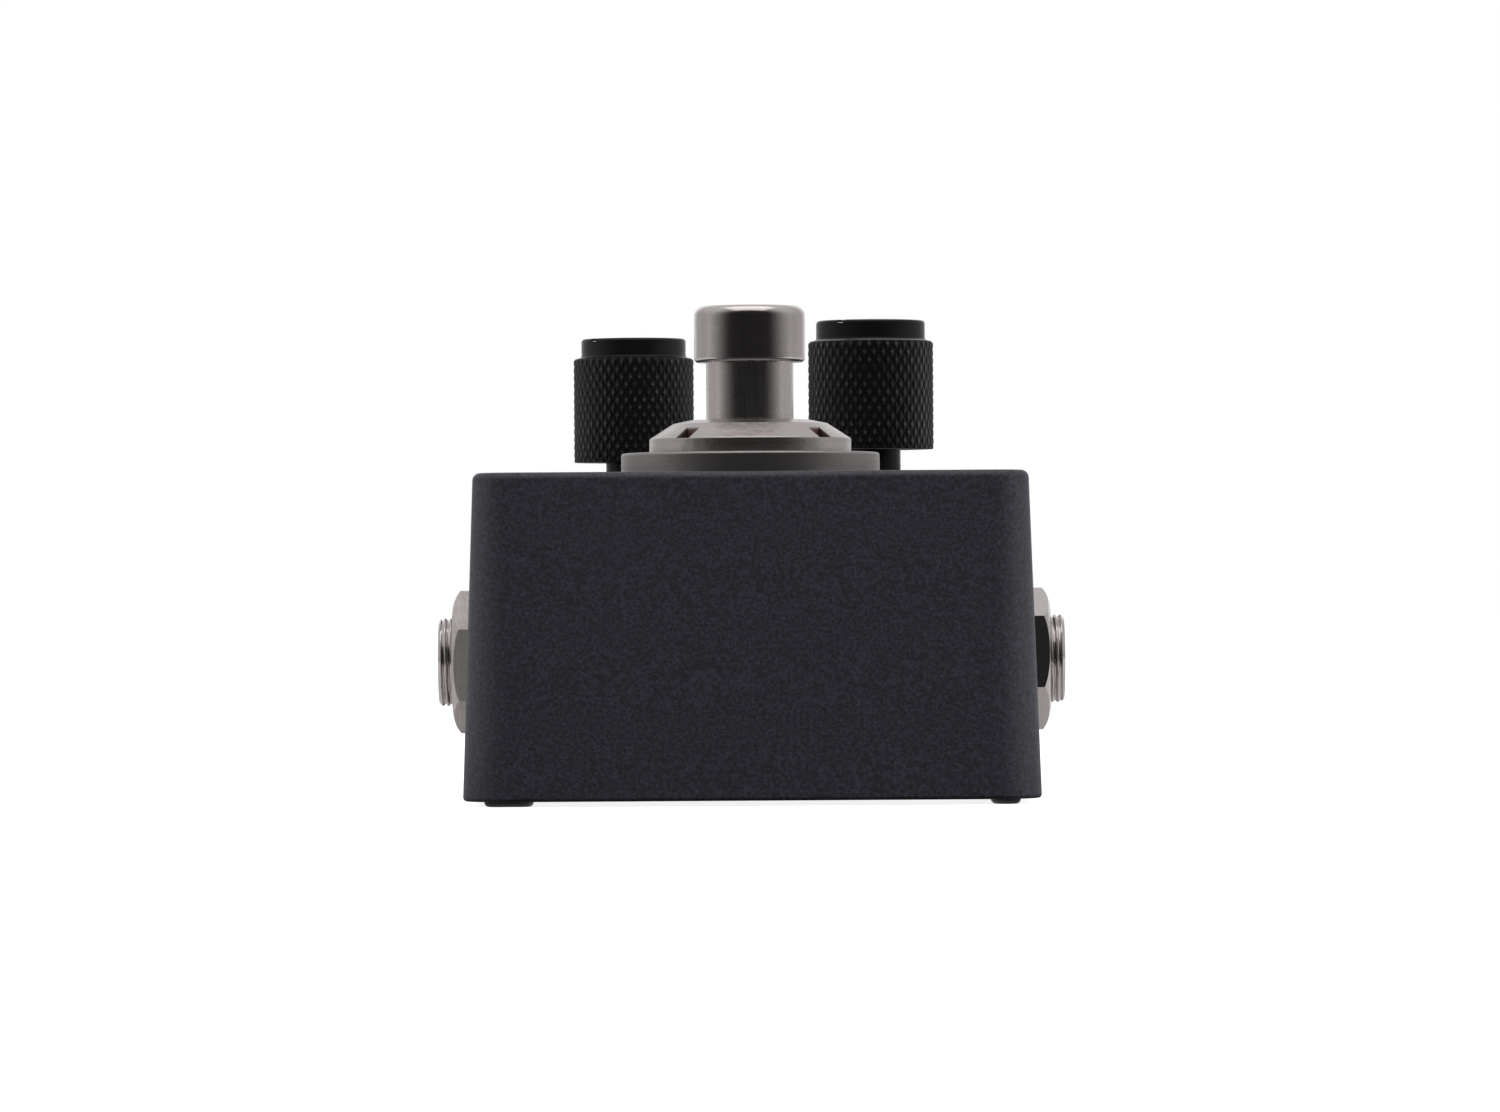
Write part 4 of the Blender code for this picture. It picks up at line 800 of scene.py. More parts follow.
class PEDAL_OT_base(bpy.types.Operator):
    """Builds the base plate, its four screws and the rubber feet"""

    bl_idname = "pedal.base"
    bl_label = "Base plate, screws and feet"

    def execute(self, context):
        sizes = context.scene.pedal_sizes
        colours = context.scene.pedal_colours
        coat = shared(graphite_powder_coat, colours, "graphite_powder_coat")
        steel = shared(plain_finish, colours, "black_oxide_steel")
        rubber = shared(plain_finish, colours, "moulded_rubber")
        low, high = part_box("base_plate")
        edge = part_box("enclosure")[1].x - high.x
        plate = [plate_outline(sizes, edge + PLATE_EDGE_BREAK, low.z)]
        plate.append(plate_outline(sizes, edge, low.z + PLATE_EDGE_BREAK))
        plate.append(plate_outline(sizes, edge, high.z))
        holes = bmesh.new()
        for corner in SCREW_CORNERS:
            node = f"base_screw_{corner}"
            bottom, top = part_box(node)
            place = upright(node, bottom.z)
            head = reach_of(node)
            countersunk(head + RUN_GAP, BASE_HOLE_RADIUS, top.z - bottom.z, CUT_PAST, place, holes)
            screw = countersunk(head, BASE_SHANK_RADIUS, top.z - bottom.z, 0.0, place)
            recess = cross_recess(head, DRIVE_DEPTH, place)
            add_piece(f"cross_head_screw_{corner}", screw, steel, node, [("DIFFERENCE", recess)])
            self.add_foot(f"rubber_foot_{corner}", rubber)
        add_piece("coated_base_plate", skin(plate), coat, "base_plate", [("DIFFERENCE", holes)])
        return {"FINISHED"}

    def add_foot(self, node, rubber):
        """An oblong pad with round ends and a rounded lower edge, stuck under the plate."""
        low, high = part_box(node)
        half = (high - low) / 2
        end = min(half.x, half.y)
        rounding = high.z / 2
        rings = []
        for angle in quarter_turns():
            draw_in = rounding * (1 - math.sin(angle))
            rise = rounding * (1 - math.cos(angle))
            # A sliver of flat keeps the points of neighbouring corners apart
            radius = end - draw_in - LEAST_FLAT
            rings.append(rounded_outline(half.x - draw_in, half.y - draw_in, radius, rise))
        rings.append([(x, y, high.z + SEAT_GAP) for x, y, _ in rings[-1]])
        add_piece(node.replace("rubber", "moulded"), skin(rings, place=upright(node)), rubber, node)


# Footswitch
class PEDAL_OT_footswitch(bpy.types.Operator):
    """Builds the footswitch's dress washer, slotted nut, bushing and plunger"""

    bl_idname = "pedal.footswitch"
    bl_label = "Footswitch"

    def execute(self, context):
        colours = context.scene.pedal_colours
        foot = foot_of("footswitch_plunger")
        nickel = nickel_for(colours, "footswitch", foot)
        cap_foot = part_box("footswitch_plunger")[1].z - CAP_HEIGHT
        # The tone of the washer's and the nut's plate darkens them as painted shade
        self.add_washer(nickel_for(colours, "dress_washer", foot, **WASHER_WEAR_AND_SHADE))
        worn = nickel_for(colours, "dress_nut", foot, soiled=self.slot_dirt, **NUT_WEAR_AND_SHADE)
        self.add_nut(worn, context.scene.pedal_sizes.slot_width)
        self.add_plunger(nickel_for(colours, "plunger", foot, scuffed_to=cap_foot))
        low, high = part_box("footswitch_bushing")
        bore = STEM_RADIUS + RUN_GAP
        outer = reach_of("footswitch_bushing")
        profile = [(bore, low.z), (outer, low.z), (outer, high.z - RUN_GAP)]
        profile += [(outer - RUN_GAP, high.z), (bore, high.z)]
        bushing = turned(profile, closed=True, place=upright("footswitch_bushing"))
        add_piece("turned_bushing", bushing, nickel, "footswitch_bushing")
        return {"FINISHED"}

    def add_washer(self, nickel):
        """A wide washer that lies on the box, with a rounded upper edge."""
        low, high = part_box("footswitch_dress_washer")
        radius = reach_of("footswitch_dress_washer")
        bore = reach_of("footswitch_bushing") + SEAT_GAP
        bottom = low.z - SEAT_GAP
        top = high.z + SEAT_GAP / 2
        rim = fillet(radius - WASHER_EDGE, top - WASHER_EDGE, WASHER_EDGE, 0.0, 90.0)
        profile = [(bore, bottom), (radius - EDGE_BREAK, bottom), (radius, bottom + EDGE_BREAK)]
        profile += rim + [(bore, top)]
        washer = turned(profile, closed=True, place=upright("footswitch_dress_washer"))
        add_piece("turned_dress_washer", washer, nickel, "footswitch_dress_washer")

    def add_nut(self, nickel, slot_width):
        """A round nut: a straight band under a cone, with slots for a pin spanner across the cone."""
        low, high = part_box("footswitch_dress_nut")
        radius = reach_of("footswitch_dress_nut")
        bore = reach_of("footswitch_bushing") + SEAT_GAP / 2
        bottom = low.z - SEAT_GAP / 2
        band = low.z + NUT_BAND
        shoulder = high.z - NUT_CROWN
        slope = math.degrees(math.atan2(shoulder - band, radius - NUT_TOP_RADIUS))
        profile = [(bore, bottom), (radius - EDGE_BREAK, bottom), (radius, bottom + EDGE_BREAK)]
        cone = 90.0 - slope
        profile += fillet(radius - NUT_EDGE, band - NUT_EDGE / 2, NUT_EDGE, 0.0, cone, EDGE_STEPS)
        crown = (NUT_TOP_RADIUS - NUT_EDGE, shoulder - NUT_EDGE)
        profile += fillet(*crown, NUT_EDGE, cone, NUT_CROWN_DEG, EDGE_STEPS)
        profile += [(bore + EDGE_BREAK, high.z), (bore, high.z - EDGE_BREAK)]
        nut = turned(profile, closed=True, place=upright("footswitch_dress_nut"))
        slots = bmesh.new()
        for count in range(SLOT_COUNT):
            spin = Matrix.Rotation(NUT_TURN + 2 * math.pi * (count + 0.5) / SLOT_COUNT, 4, "Z")
            place = upright("footswitch_dress_nut") @ spin
            corner = (SLOT_INNER_RADIUS, -slot_width / 2, band)
            bar(corner, (radius + CUT_PAST, slot_width / 2, high.z + CUT_PAST), place, slots)
        add_piece("slotted_dress_nut", nut, nickel, "footswitch_dress_nut", [("DIFFERENCE", slots)])

    def slot_dirt(self, tree, turning):
        """Dirt on what lies below the nut's own cone and crown, which is only found in the slots."""
        low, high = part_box("footswitch_dress_nut")
        radius = reach_of("footswitch_dress_nut")
        shoulder = high.z - NUT_CROWN
        slope = (shoulder - low.z - NUT_BAND) / (radius - NUT_TOP_RADIUS)
        distance, height, _ = add_node(tree, "SeparateXYZ", {0: turning}, None)
        foot = low.z + NUT_BAND + radius * slope
        cone = add_node(tree, "Math", {0: distance, 1: -slope, 2: foot}, operation="MULTIPLY_ADD")
        surface = add_node(tree, "Math", {0: cone, 1: shoulder}, operation="MINIMUM")
        depth = add_node(tree, "Math", {0: surface, 1: height}, operation="SUBTRACT")
        deep = add_node(tree, "MapRange", {0: depth, 1: DIRT_START, 2: DIRT_FULL})
        inside = add_node(tree, "Math", {0: distance, 1: radius - DIRT_START}, operation="LESS_THAN")
        return add_node(tree, "Math", {0: deep, 1: inside}, operation="MULTIPLY")

    def add_plunger(self, nickel):
        """Cap, stem and collar in one turned piece."""
        low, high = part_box("footswitch_plunger")
        radius = reach_of("footswitch_plunger")
        cap_low = high.z - CAP_HEIGHT
        collar_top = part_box("footswitch_bushing")[0].z - RUN_GAP
        collar_low = collar_top - COLLAR_THICKNESS
        profile = [(SPRING_GUIDE_RADIUS, low.z), (SPRING_GUIDE_RADIUS, collar_low)]
        profile += [(COLLAR_RADIUS, collar_low), (COLLAR_RADIUS, collar_top)]
        profile += [(STEM_RADIUS, collar_top), (STEM_RADIUS, cap_low)]
        profile += fillet(radius - CAP_EDGE, cap_low + CAP_EDGE, CAP_EDGE, -90.0, 0.0)
        profile += fillet(radius - CAP_FILLET, high.z - CAP_FILLET, CAP_FILLET, 0.0, 90.0, 2 * FILLET_STEPS)
        plunger = turned(profile, place=upright("footswitch_plunger"))
        add_piece("turned_plunger", plunger, nickel, "footswitch_plunger")


class PEDAL_OT_return_spring(bpy.types.Operator):
    """Winds the return spring as one fixed coil, though the real spring shortens as the plunger goes down"""

    bl_idname = "pedal.return_spring"
    bl_label = "Return spring"

    def execute(self, context):
        node = "footswitch_return_spring"
        low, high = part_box(node)
        length = high.z - low.z
        rise = length - 2 * SPRING_WIRE_RADIUS
        radius = reach_of(node) - SPRING_WIRE_RADIUS
        slope = rise / (2 * math.pi * radius * SPRING_TURNS)
        count = SPRING_TURNS * SPRING_POINTS
        rings = []
        for step in range(count + 1):
            turn = 2 * math.pi * step / SPRING_POINTS
            outward = Vector((math.cos(turn), math.sin(turn), 0.0))
            along = Vector((-math.sin(turn), math.cos(turn), slope)).normalized()
            upward = outward.cross(along)
            middle = outward * radius + Vector((0.0, 0.0, low.z + SPRING_WIRE_RADIUS + rise * step / count))
            section = circle(SPRING_WIRE_RADIUS, 0.0, SPRING_SIDES)
            rings.append([middle + outward * x + upward * y for x, y, _ in section])
        wire = skin(rings, place=upright("footswitch_plunger"))
        nickel = nickel_for(context.scene.pedal_colours, "footswitch", foot_of("footswitch_plunger"))
        spring = add_piece("wound_return_spring", wire, nickel, node, body="pedal")
        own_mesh(spring)
        return {"FINISHED"}


# Knobs
def knurl_rings(sizes, radius, low, high):
    """Rings of a diamond knurl: two sets of slanted grooves that leave rounded diamond points.
    Each ring is a step up both slants, so the folds of the grooves run along the mesh's own edges."""
    columns = sizes.knurl_starts * KNURL_CELL
    pitch = 2 * math.pi * radius / sizes.knurl_starts / math.tan(sizes.knurl_angle)
    rows = round((high - low) / pitch * KNURL_CELL)

    def reach(row, column, height):
        chamfer = max(KNOB_CHAMFER - (high - height), KNOB_FOOT_BREAK - (height - low), 0.0)
        depth = sizes.knurl_depth * (1 - knurl_share(row, column))
        return min(radius - depth, radius - chamfer)

    return relief_rings(low, high, rows, columns, reach)


def groove_distance(step):
    """How far a step along one slant is from the nearest groove, as a share of the groove's pitch."""
    return abs(step / KNURL_CELL - round(step / KNURL_CELL))


def knurl_share(row, column):
    """Height of the knurl at a mesh point, from 0 in a groove to 1 on a tip."""
    nearest = min(groove_distance(column + row), groove_distance(column - row))
    share = min(nearest / KNURL_GROOVE_SHARE, 1.0)
    return share * share * (3 - 2 * share)


def knurl_fold(row, column):
    """Whether a face of the knurl folds along the grooves that slant to the right."""
    return groove_distance(column - row) < groove_distance(column + row + 1)


class PEDAL_OT_knobs(bpy.types.Operator):
    """Builds both knurled knobs with their pointers, set screws and shafts"""

    bl_idname = "pedal.knobs"
    bl_label = "Knobs"

    def execute(self, context):
        colours = context.scene.pedal_colours
        steel = shared(plain_finish, colours, "black_oxide_steel")
        enamel = shared(plain_finish, colours, "pointer_enamel")
        for side in ("left", "right"):
            foot = foot_of(f"{side}_pot_shaft")
            radius = reach_of(f"{side}_knob")
            black = black_anodise(colours, f"black_anodise_{side}_knob", foot, radius, KNOB_GLEAM[side])
            self.add_knob(side, context.scene.pedal_sizes, black)
            self.add_pointer(side, context.scene.pedal_sizes.pointer_width, enamel)
            self.add_set_screw(side, steel)
            self.add_shaft(side, black)
        return {"FINISHED"}

    def knob_place(self, side, height=0.0):
        """A frame on the knob's axis whose X axis runs along the pointer."""
        spin = math.pi / 2 + POINTER_TURNS[side]
        return upright(f"{side}_pot_shaft", height) @ Matrix.Rotation(spin, 4, "Z")

    def drill_frame(self, side):
        """A frame at the set screw's height whose Z axis runs out along the screw."""
        height = middle_of(f"{side}_knob_set_screw").z
        return self.knob_place(side, height) @ Matrix.Rotation(-math.pi / 2, 4, "Y")

    def add_knob(self, side, sizes, black):
        node = f"{side}_knob"
        low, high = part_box(node)
        radius = reach_of(node)
        bore = reach_of(f"{side}_pot_shaft") + SEAT_GAP
        barrel_top = low.z + KNOB_BARREL_HEIGHT
        shoulder_top = barrel_top + KNOB_SHOULDER_HEIGHT
        columns = sizes.knurl_starts * KNURL_CELL
        inside = [circle(bore, high.z - KNOB_ROOF, columns), circle(bore, low.z, columns)]
        knurl = knurl_rings(sizes, radius, low.z, barrel_top)
        foot = (KNOB_CAP_RADIUS + RUN_GAP, shoulder_top)
        rim = (KNOB_CAP_RADIUS - KNOB_CAP_FILLET, high.z - KNOB_CAP_FILLET)
        profile = fillet(*foot, RUN_GAP, KNOB_SHOULDER_DEG, 180.0, EDGE_STEPS)
        profile += fillet(*rim, KNOB_CAP_FILLET, 0.0, 90.0)
        cap = [circle(reach, height, columns) for reach, height in profile]
        first = len(inside)
        last = first + len(knurl) - 1

        def fold(row, column):
            return knurl_fold(row - first, column) if first <= row < last else None

        shape = skin(inside + knurl + cap, place=upright(f"{side}_pot_shaft"), ridge=fold)
        corner = (POINTER_INNER_RADIUS, -sizes.pointer_width / 2, high.z - POINTER_DEPTH)
        far_corner = (radius + CUT_PAST, sizes.pointer_width / 2, high.z + CUT_PAST)
        groove = bar(corner, far_corner, self.knob_place(side))
        drill = level_reach_of(f"{side}_knob_set_screw") + SEAT_GAP
        hole = rod(drill, bore / 2, radius + CUT_PAST, place=self.drill_frame(side))
        steps = [("DIFFERENCE", groove), ("DIFFERENCE", hole)]
        knob = add_piece(f"knurled_{side}_knob", shape, black, node, steps)
        # The right knob and its shaft leave no dark image on the bright plunger
        knob.visible_glossy = side == "left"

    def add_pointer(self, side, width, enamel):
        """The painted line in the groove on top of the knob."""
        node = f"{side}_knob"
        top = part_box(node)[1].z
        corner = (POINTER_INNER_RADIUS, -width / 2, top - POINTER_DEPTH)
        far_corner = (KNOB_CAP_RADIUS - KNOB_CAP_FILLET / 2, width / 2, top - POINTER_SINK)
        line = bar(corner, far_corner, self.knob_place(side))
        add_piece(f"{side}_knob_pointer", line, enamel, node)

    def add_set_screw(self, side, steel):
        """A grub screw with a hexagon socket."""
        node = f"{side}_knob_set_screw"
        radius = level_reach_of(node)
        tip = reach_of(f"{side}_pot_shaft") + SEAT_GAP
        face = reach_of(f"{side}_knob") - KNOB_CHAMFER
        profile = [(radius - RUN_GAP, tip), (radius, tip + RUN_GAP), (radius, face - EDGE_BREAK)]
        profile.append((radius - EDGE_BREAK, face))
        place = self.drill_frame(side)
        floor = face - SET_SCREW_SOCKET_DEPTH
        socket = rod(SET_SCREW_SOCKET_RADIUS, floor, face + CUT_PAST, HEX_SIDES, place)
        grub = turned(profile, SMALL_SIDES, place=place)
        add_piece(f"socket_{side}_set_screw", grub, steel, node, [("DIFFERENCE", socket)])

    def add_shaft(self, side, black):
        node = f"{side}_pot_shaft"
        low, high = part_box(node)
        radius = reach_of(node)
        profile = [(radius, low.z), (radius, high.z - RUN_GAP), (radius - RUN_GAP, high.z)]
        column = turned(profile, SMALL_SIDES, place=upright(node))
        shaft = add_piece(f"turned_{side}_shaft", column, black, node)
        shaft.visible_glossy = side == "left"


# Jacks
class PEDAL_OT_jacks(bpy.types.Operator):
    """Builds the threaded barrels, hexagon nuts and washers of both jacks"""

    bl_idname = "pedal.jacks"
    bl_label = "Jacks"

    def execute(self, context):
        colours = context.scene.pedal_colours
        for kind in ("output", "input"):
            middle = middle_of(f"{kind}_jack_barrel")
            foot, axis = (0.0, middle.y, middle.z), (1.0, 0.0, 0.0)
            bright = nickel_for(colours, f"{kind}_jack", foot, axis)
            nut_plate = bright
            # The output jack's nut is plated over a rougher milled surface, and its colour is lifted as
            # painted light
            if kind == "output":
                nut_plate = nickel_for(colours, "output_milled", foot, axis, **MILLED_FINISH_AND_LIGHT)
            self.add_barrel(kind, context.scene.pedal_sizes, bright)
            self.add_nut(kind, nut_plate)
            self.add_washer(kind, bright)
        return {"FINISHED"}

    def add_washer(self, kind, nickel):
        node = f"{kind}_jack_washer"
        low, high = stations_of(node)
        radius = level_reach_of(node)
        bore = level_reach_of(f"{kind}_jack_barrel") + SEAT_GAP
        rim = fillet(radius - EDGE_BREAK, high - EDGE_BREAK, EDGE_BREAK, 0.0, 90.0, EDGE_STEPS)
        profile = [(bore, low - SEAT_GAP), (radius, low - SEAT_GAP)] + rim + [(bore, high)]
        washer = turned(profile, closed=True, place=jack_frame(kind))
        add_piece(f"turned_{kind}_washer", washer, nickel, node)

    def add_barrel(self, kind, sizes, nickel):
        """A bored barrel with a helical thread over the stretch that the nut runs on."""
        node = f"{kind}_jack_barrel"
        low, high = stations_of(node)
        radius = level_reach_of(node)
        start = stations_of(f"{kind}_jack_washer")[0]
        rows = math.ceil((high - start) / sizes.thread_pitch * THREAD_STEPS)

        def reach(_, column, height):
            phase = (height - start) / sizes.thread_pitch - column / ROUND_SIDES
            groove = (1 + math.cos(2 * math.pi * phase)) / 2
            chamfer = max(BARREL_CHAMFER - (high - height), 0.0)
            return min(radius - sizes.thread_depth * groove, radius - chamfer)

        inner = [(JACK_BORE_RADIUS, low), (radius - sizes.thread_depth, low)]
        mouth = [(JACK_BORE_RADIUS + EDGE_BREAK, high), (JACK_BORE_RADIUS, high - EDGE_BREAK)]
        rings = [circle(*point, ROUND_SIDES) for point in inner]
        rings += relief_rings(start, high, rows, ROUND_SIDES, reach)
        rings += [circle(*point, ROUND_SIDES) for point in mouth]
        add_piece(f"threaded_{kind}_barrel", skin(rings, closed=True, place=jack_frame(kind)), nickel, node)

    def add_nut(self, kind, nickel):
        """A hexagon nut whose outer corners are turned down to a shallow dome."""
        node = f"{kind}_jack_nut"
        low, high = stations_of(node)
        low -= SEAT_GAP
        place = jack_frame(kind)
        corner = JACK_NUT_FLATS / math.sqrt(3.0)
        hexes = [circle(corner, height, HEX_SIDES, JACK_NUT_TURNS[kind]) for height in (low, high)]
        centre = (NUT_DOME_START, high - NUT_DOME_RADIUS)
        dome = fillet(*centre, NUT_DOME_RADIUS, NUT_DOME_DEG, 90.0, 2 * FILLET_STEPS)
        outside = [(dome[0][0], low - CUT_PAST)] + dome
        bore = level_reach_of(f"{kind}_jack_barrel") + EDGE_BREAK
        hole = rod(bore, low - CUT_PAST, high + CUT_PAST, ROUND_SIDES, place)
        steps = [("INTERSECT", turned(outside, place=place)), ("DIFFERENCE", hole)]
        add_piece(f"chamfered_{kind}_nut", skin(hexes, place=place), nickel, node, steps, EDGE_BREAK)


# Power socket and status light
class PEDAL_OT_socket_and_light(bpy.types.Operator):
    """Builds the power socket's housing and pin, and the status light's bezel and lens"""

    bl_idname = "pedal.socket_and_light"
    bl_label = "Power socket and light"

    def execute(self, context):
        colours = context.scene.pedal_colours
        self.add_power_socket(colours)
        self.add_light(colours)
        return {"FINISHED"}

    def add_power_socket(self, colours):
        low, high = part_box("power_socket_housing")
        pin_low, pin_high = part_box("power_socket_pin")
        pin = middle_of("power_socket_pin")
        place = power_frame()
        bore = rod(POWER_BORE_RADIUS, high.y - POWER_BORE_DEPTH, high.y + CUT_PAST, SMALL_SIDES, place)
        plastic = shared(plain_finish, colours, "moulded_plastic")
        steps = [("DIFFERENCE", bore)]
        add_piece("moulded_power_socket", bar(low, high), plastic, "power_socket_housing", steps, RUN_GAP)
        radius = reach_of("power_socket_pin")
        profile = [(radius, pin_low.y)] + fillet(radius / 2, pin_high.y - radius / 2, radius / 2, 0.0, 90.0)
        nickel = nickel_for(colours, "power_pin", (pin.x, 0.0, pin.z), (0.0, 1.0, 0.0))
        add_piece("turned_power_pin", turned(profile, SMALL_SIDES, place=place), nickel, "power_socket_pin")

    def add_light(self, colours):
        low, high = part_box("status_light_bezel")
        place = upright("status_light_bezel")
        lens_low, lens_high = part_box("status_light_lens")
        lens = reach_of("status_light_lens")
        flange = reach_of("status_light_bezel")
        collar = reach_of("status_light_spacer")
        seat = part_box("enclosure")[1].z
        bore = lens + SEAT_GAP / 2
        profile = [(bore, low.z), (collar, low.z), (collar, seat), (flange, seat), (flange, seat + SEAT_GAP)]
        rise = high.z - seat - SEAT_GAP
        profile += fillet(collar, seat + SEAT_GAP, rise, BEZEL_START_DEG, 90.0, BEZEL_STEPS)
        profile.append((bore, high.z))
        nickel = nickel_for(colours, "light_bezel", foot_of("status_light_bezel"))
        bezel = turned(profile, SMALL_SIDES, True, place)
        add_piece("turned_light_bezel", bezel, nickel, "status_light_bezel")
        dome = lens_high.z - lens
        profile = [(lens, lens_low.z)] + fillet(0.0, dome, lens, 0.0, LENS_TOP_DEG, 2 * FILLET_STEPS)
        tinted = shared(plain_finish, colours, "tinted_lens")
        bulb = turned(profile, SMALL_SIDES, place=place)
        add_piece("moulded_light_lens", bulb, tinted, "status_light_lens")


class PEDAL_OT_inner_pieces(bpy.types.Operator):
    """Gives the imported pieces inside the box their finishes"""

    bl_idname = "pedal.inner_pieces"
    bl_label = "Inner pieces"

    def execute(self, context):
        colours = context.scene.pedal_colours
        finishes = {
            "black_plastic": "moulded_plastic",
            "brass": "tinned_brass",
            "laminate": "green_solder_resist",
            "film_capacitor": "dipped_epoxy",
            "capacitor_sleeve": "shrunk_sleeve",
            "black_steel": "black_oxide_steel",
            "rubber": "moulded_rubber",
        }
        for name, node in frame["nodes"].items():
            if node.hide_render:
                continue
            node.data.materials.clear()
            if SLOT_OF[name] == "nickel":
                node.data.materials.append(nickel_for(colours, name, foot_of(name)))
            else:
                node.data.materials.append(shared(plain_finish, colours, finishes[SLOT_OF[name]]))
        return {"FINISHED"}


# Stage
def white_floor(colours, half_width, half_length):
    """Pale matt floor. To the camera it has a glow of its own that brings it to white, and it keeps the
    shadow. In front of the pedal it throws no light back, like a dark card with a step at each side of the
    pedal, so the front face stays deep. Metal sees a little of the glow. Seen from below the floor is clear,
    and where the pedal covers it, it lights the base."""
    finish = bpy.data.materials.new("white_floor")
    finish.use_nodes = True
    tree = finish.node_tree
    tree.nodes.remove(tree.nodes["Principled BSDF"])
    geometry = add_node(tree, "NewGeometry", output=None)
    x, y, _ = add_node(tree, "SeparateXYZ", {0: geometry["Position"]}, None)
    path = add_node(tree, "LightPath", output=None)
    rays = {0: path["Is Camera Ray"], 1: path["Is Transmission Ray"]}
    seen = add_node(tree, "Math", rays, operation="MAXIMUM")
    aside = add_node(tree, "Math", {0: x}, operation="ABSOLUTE")
    along = add_node(tree, "Math", {0: y}, operation="ABSOLUTE")
    card_half = half_width + CARD_MARGIN
    step = {0: aside, 1: card_half, 2: card_half + CARD_FADE, 4: CARD_STEP}
    beside = add_node(tree, "MapRange", step)
    stepped = add_node(tree, "Math", {0: y, 1: beside}, operation="ADD")
    edge = {0: stepped, 1: -half_length, 2: CARD_FADE - half_length, 3: CARD_LEVEL}
    off_card = add_node(tree, "MapRange", edge)
    share = add_node(tree, "Math", {0: off_card, 1: seen}, operation="MAXIMUM")
    pale = add_node(tree, "VectorMath", {0: colours.floor, 3: share}, operation="SCALE")
    matt = add_node(tree, "BsdfDiffuse", {"Color": pale})
    mirrored = add_node(tree, "Math", {0: path["Is Glossy Ray"], 1: off_card}, operation="MULTIPLY")
    dim = add_node(tree, "Math", {0: mirrored, 1: MIRRORED_GLOW}, operation="MULTIPLY")
    bright = add_node(tree, "Math", {0: seen, 1: FLOOR_GLOW, 2: dim}, operation="MULTIPLY_ADD")
    covered = UNDER_GLOW
    for reach, half in ((aside, half_width), (along, half_length)):
        edge = {0: reach, 1: half - UNDER_INSET, 2: half, 3: covered, 4: 0.0}
        covered = add_node(tree, "MapRange", edge)
    strength = add_node(tree, "Math", {0: bright, 1: covered}, operation="MAXIMUM")
    glow = add_node(tree, "Emission", {"Strength": strength})
    lit = add_node(tree, "AddShader", {0: matt, 1: glow})
    clear = add_node(tree, "BsdfTransparent")
    surface = add_node(tree, "MixShader", {0: geometry["Backfacing"], 1: lit, 2: clear})
    plug(tree, tree.nodes["Material Output"], {"Surface": surface})
    return finish


def floor_shape():
    shape = bmesh.new()
    corners = ((-1, -1), (1, -1), (1, 1), (-1, 1))
    shape.faces.new([shape.verts.new((FLOOR_REACH * x, FLOOR_REACH * y, 0.0)) for x, y in corners])
    return shape


def light_tent():
    """A white tent: dark where the lens looks in, rising to white behind, and a little brighter overhead.
    The camera itself sees plain white."""
    world = bpy.data.worlds.new("light_tent")
    world.use_nodes = True
    tree = world.node_tree
    toward = add_node(tree, "TexCoord", output="Generated")
    z = add_node(tree, "SeparateXYZ", {0: toward}, 2)
    frontward = add_node(tree, "VectorMath", {0: toward, 1: (0.0, -1.0, 0.0)}, 1, operation="DOT_PRODUCT")
    turn = add_node(tree, "Math", {0: frontward}, operation="ARCCOSINE")
    ramps = []
    for near, far, low, high in TENT_RAMPS:
        rise = {0: turn, 1: near, 2: far, 3: low, 4: high}
        ramps.append(add_node(tree, "MapRange", rise, interpolation_type="SMOOTHSTEP"))
    level = add_node(tree, "Math", dict(enumerate(ramps)), operation="ADD")
    overhead = add_node(tree, "MapRange", {0: z, 3: 1.0, 4: TENT_OVERHEAD})
    folds = add_node(tree, "TexNoise", {"Vector": toward, "Scale": TENT_FOLDS, "Detail": 2.0})
    cloth = add_node(tree, "MapRange", {0: folds, **NOISE_SPREAD, 3: TENT_SHADES[0], 4: TENT_SHADES[1]})
    shade = add_node(tree, "Math", {0: overhead, 1: cloth}, operation="MULTIPLY")
    inside = add_node(tree, "Math", {0: level, 1: shade}, operation="MULTIPLY")
    path = add_node(tree, "LightPath", output=None)
    rays = {0: path["Is Camera Ray"], 1: path["Is Transmission Ray"]}
    plain = add_node(tree, "Math", rays, operation="MAXIMUM")
    strength = add_node(tree, "Mix", {0: plain, 2: inside, 3: 1.0})
    plug(tree, tree.nodes["Background"], {"Color": opaque((1.0, 1.0, 1.0)), "Strength": strength})
    return world


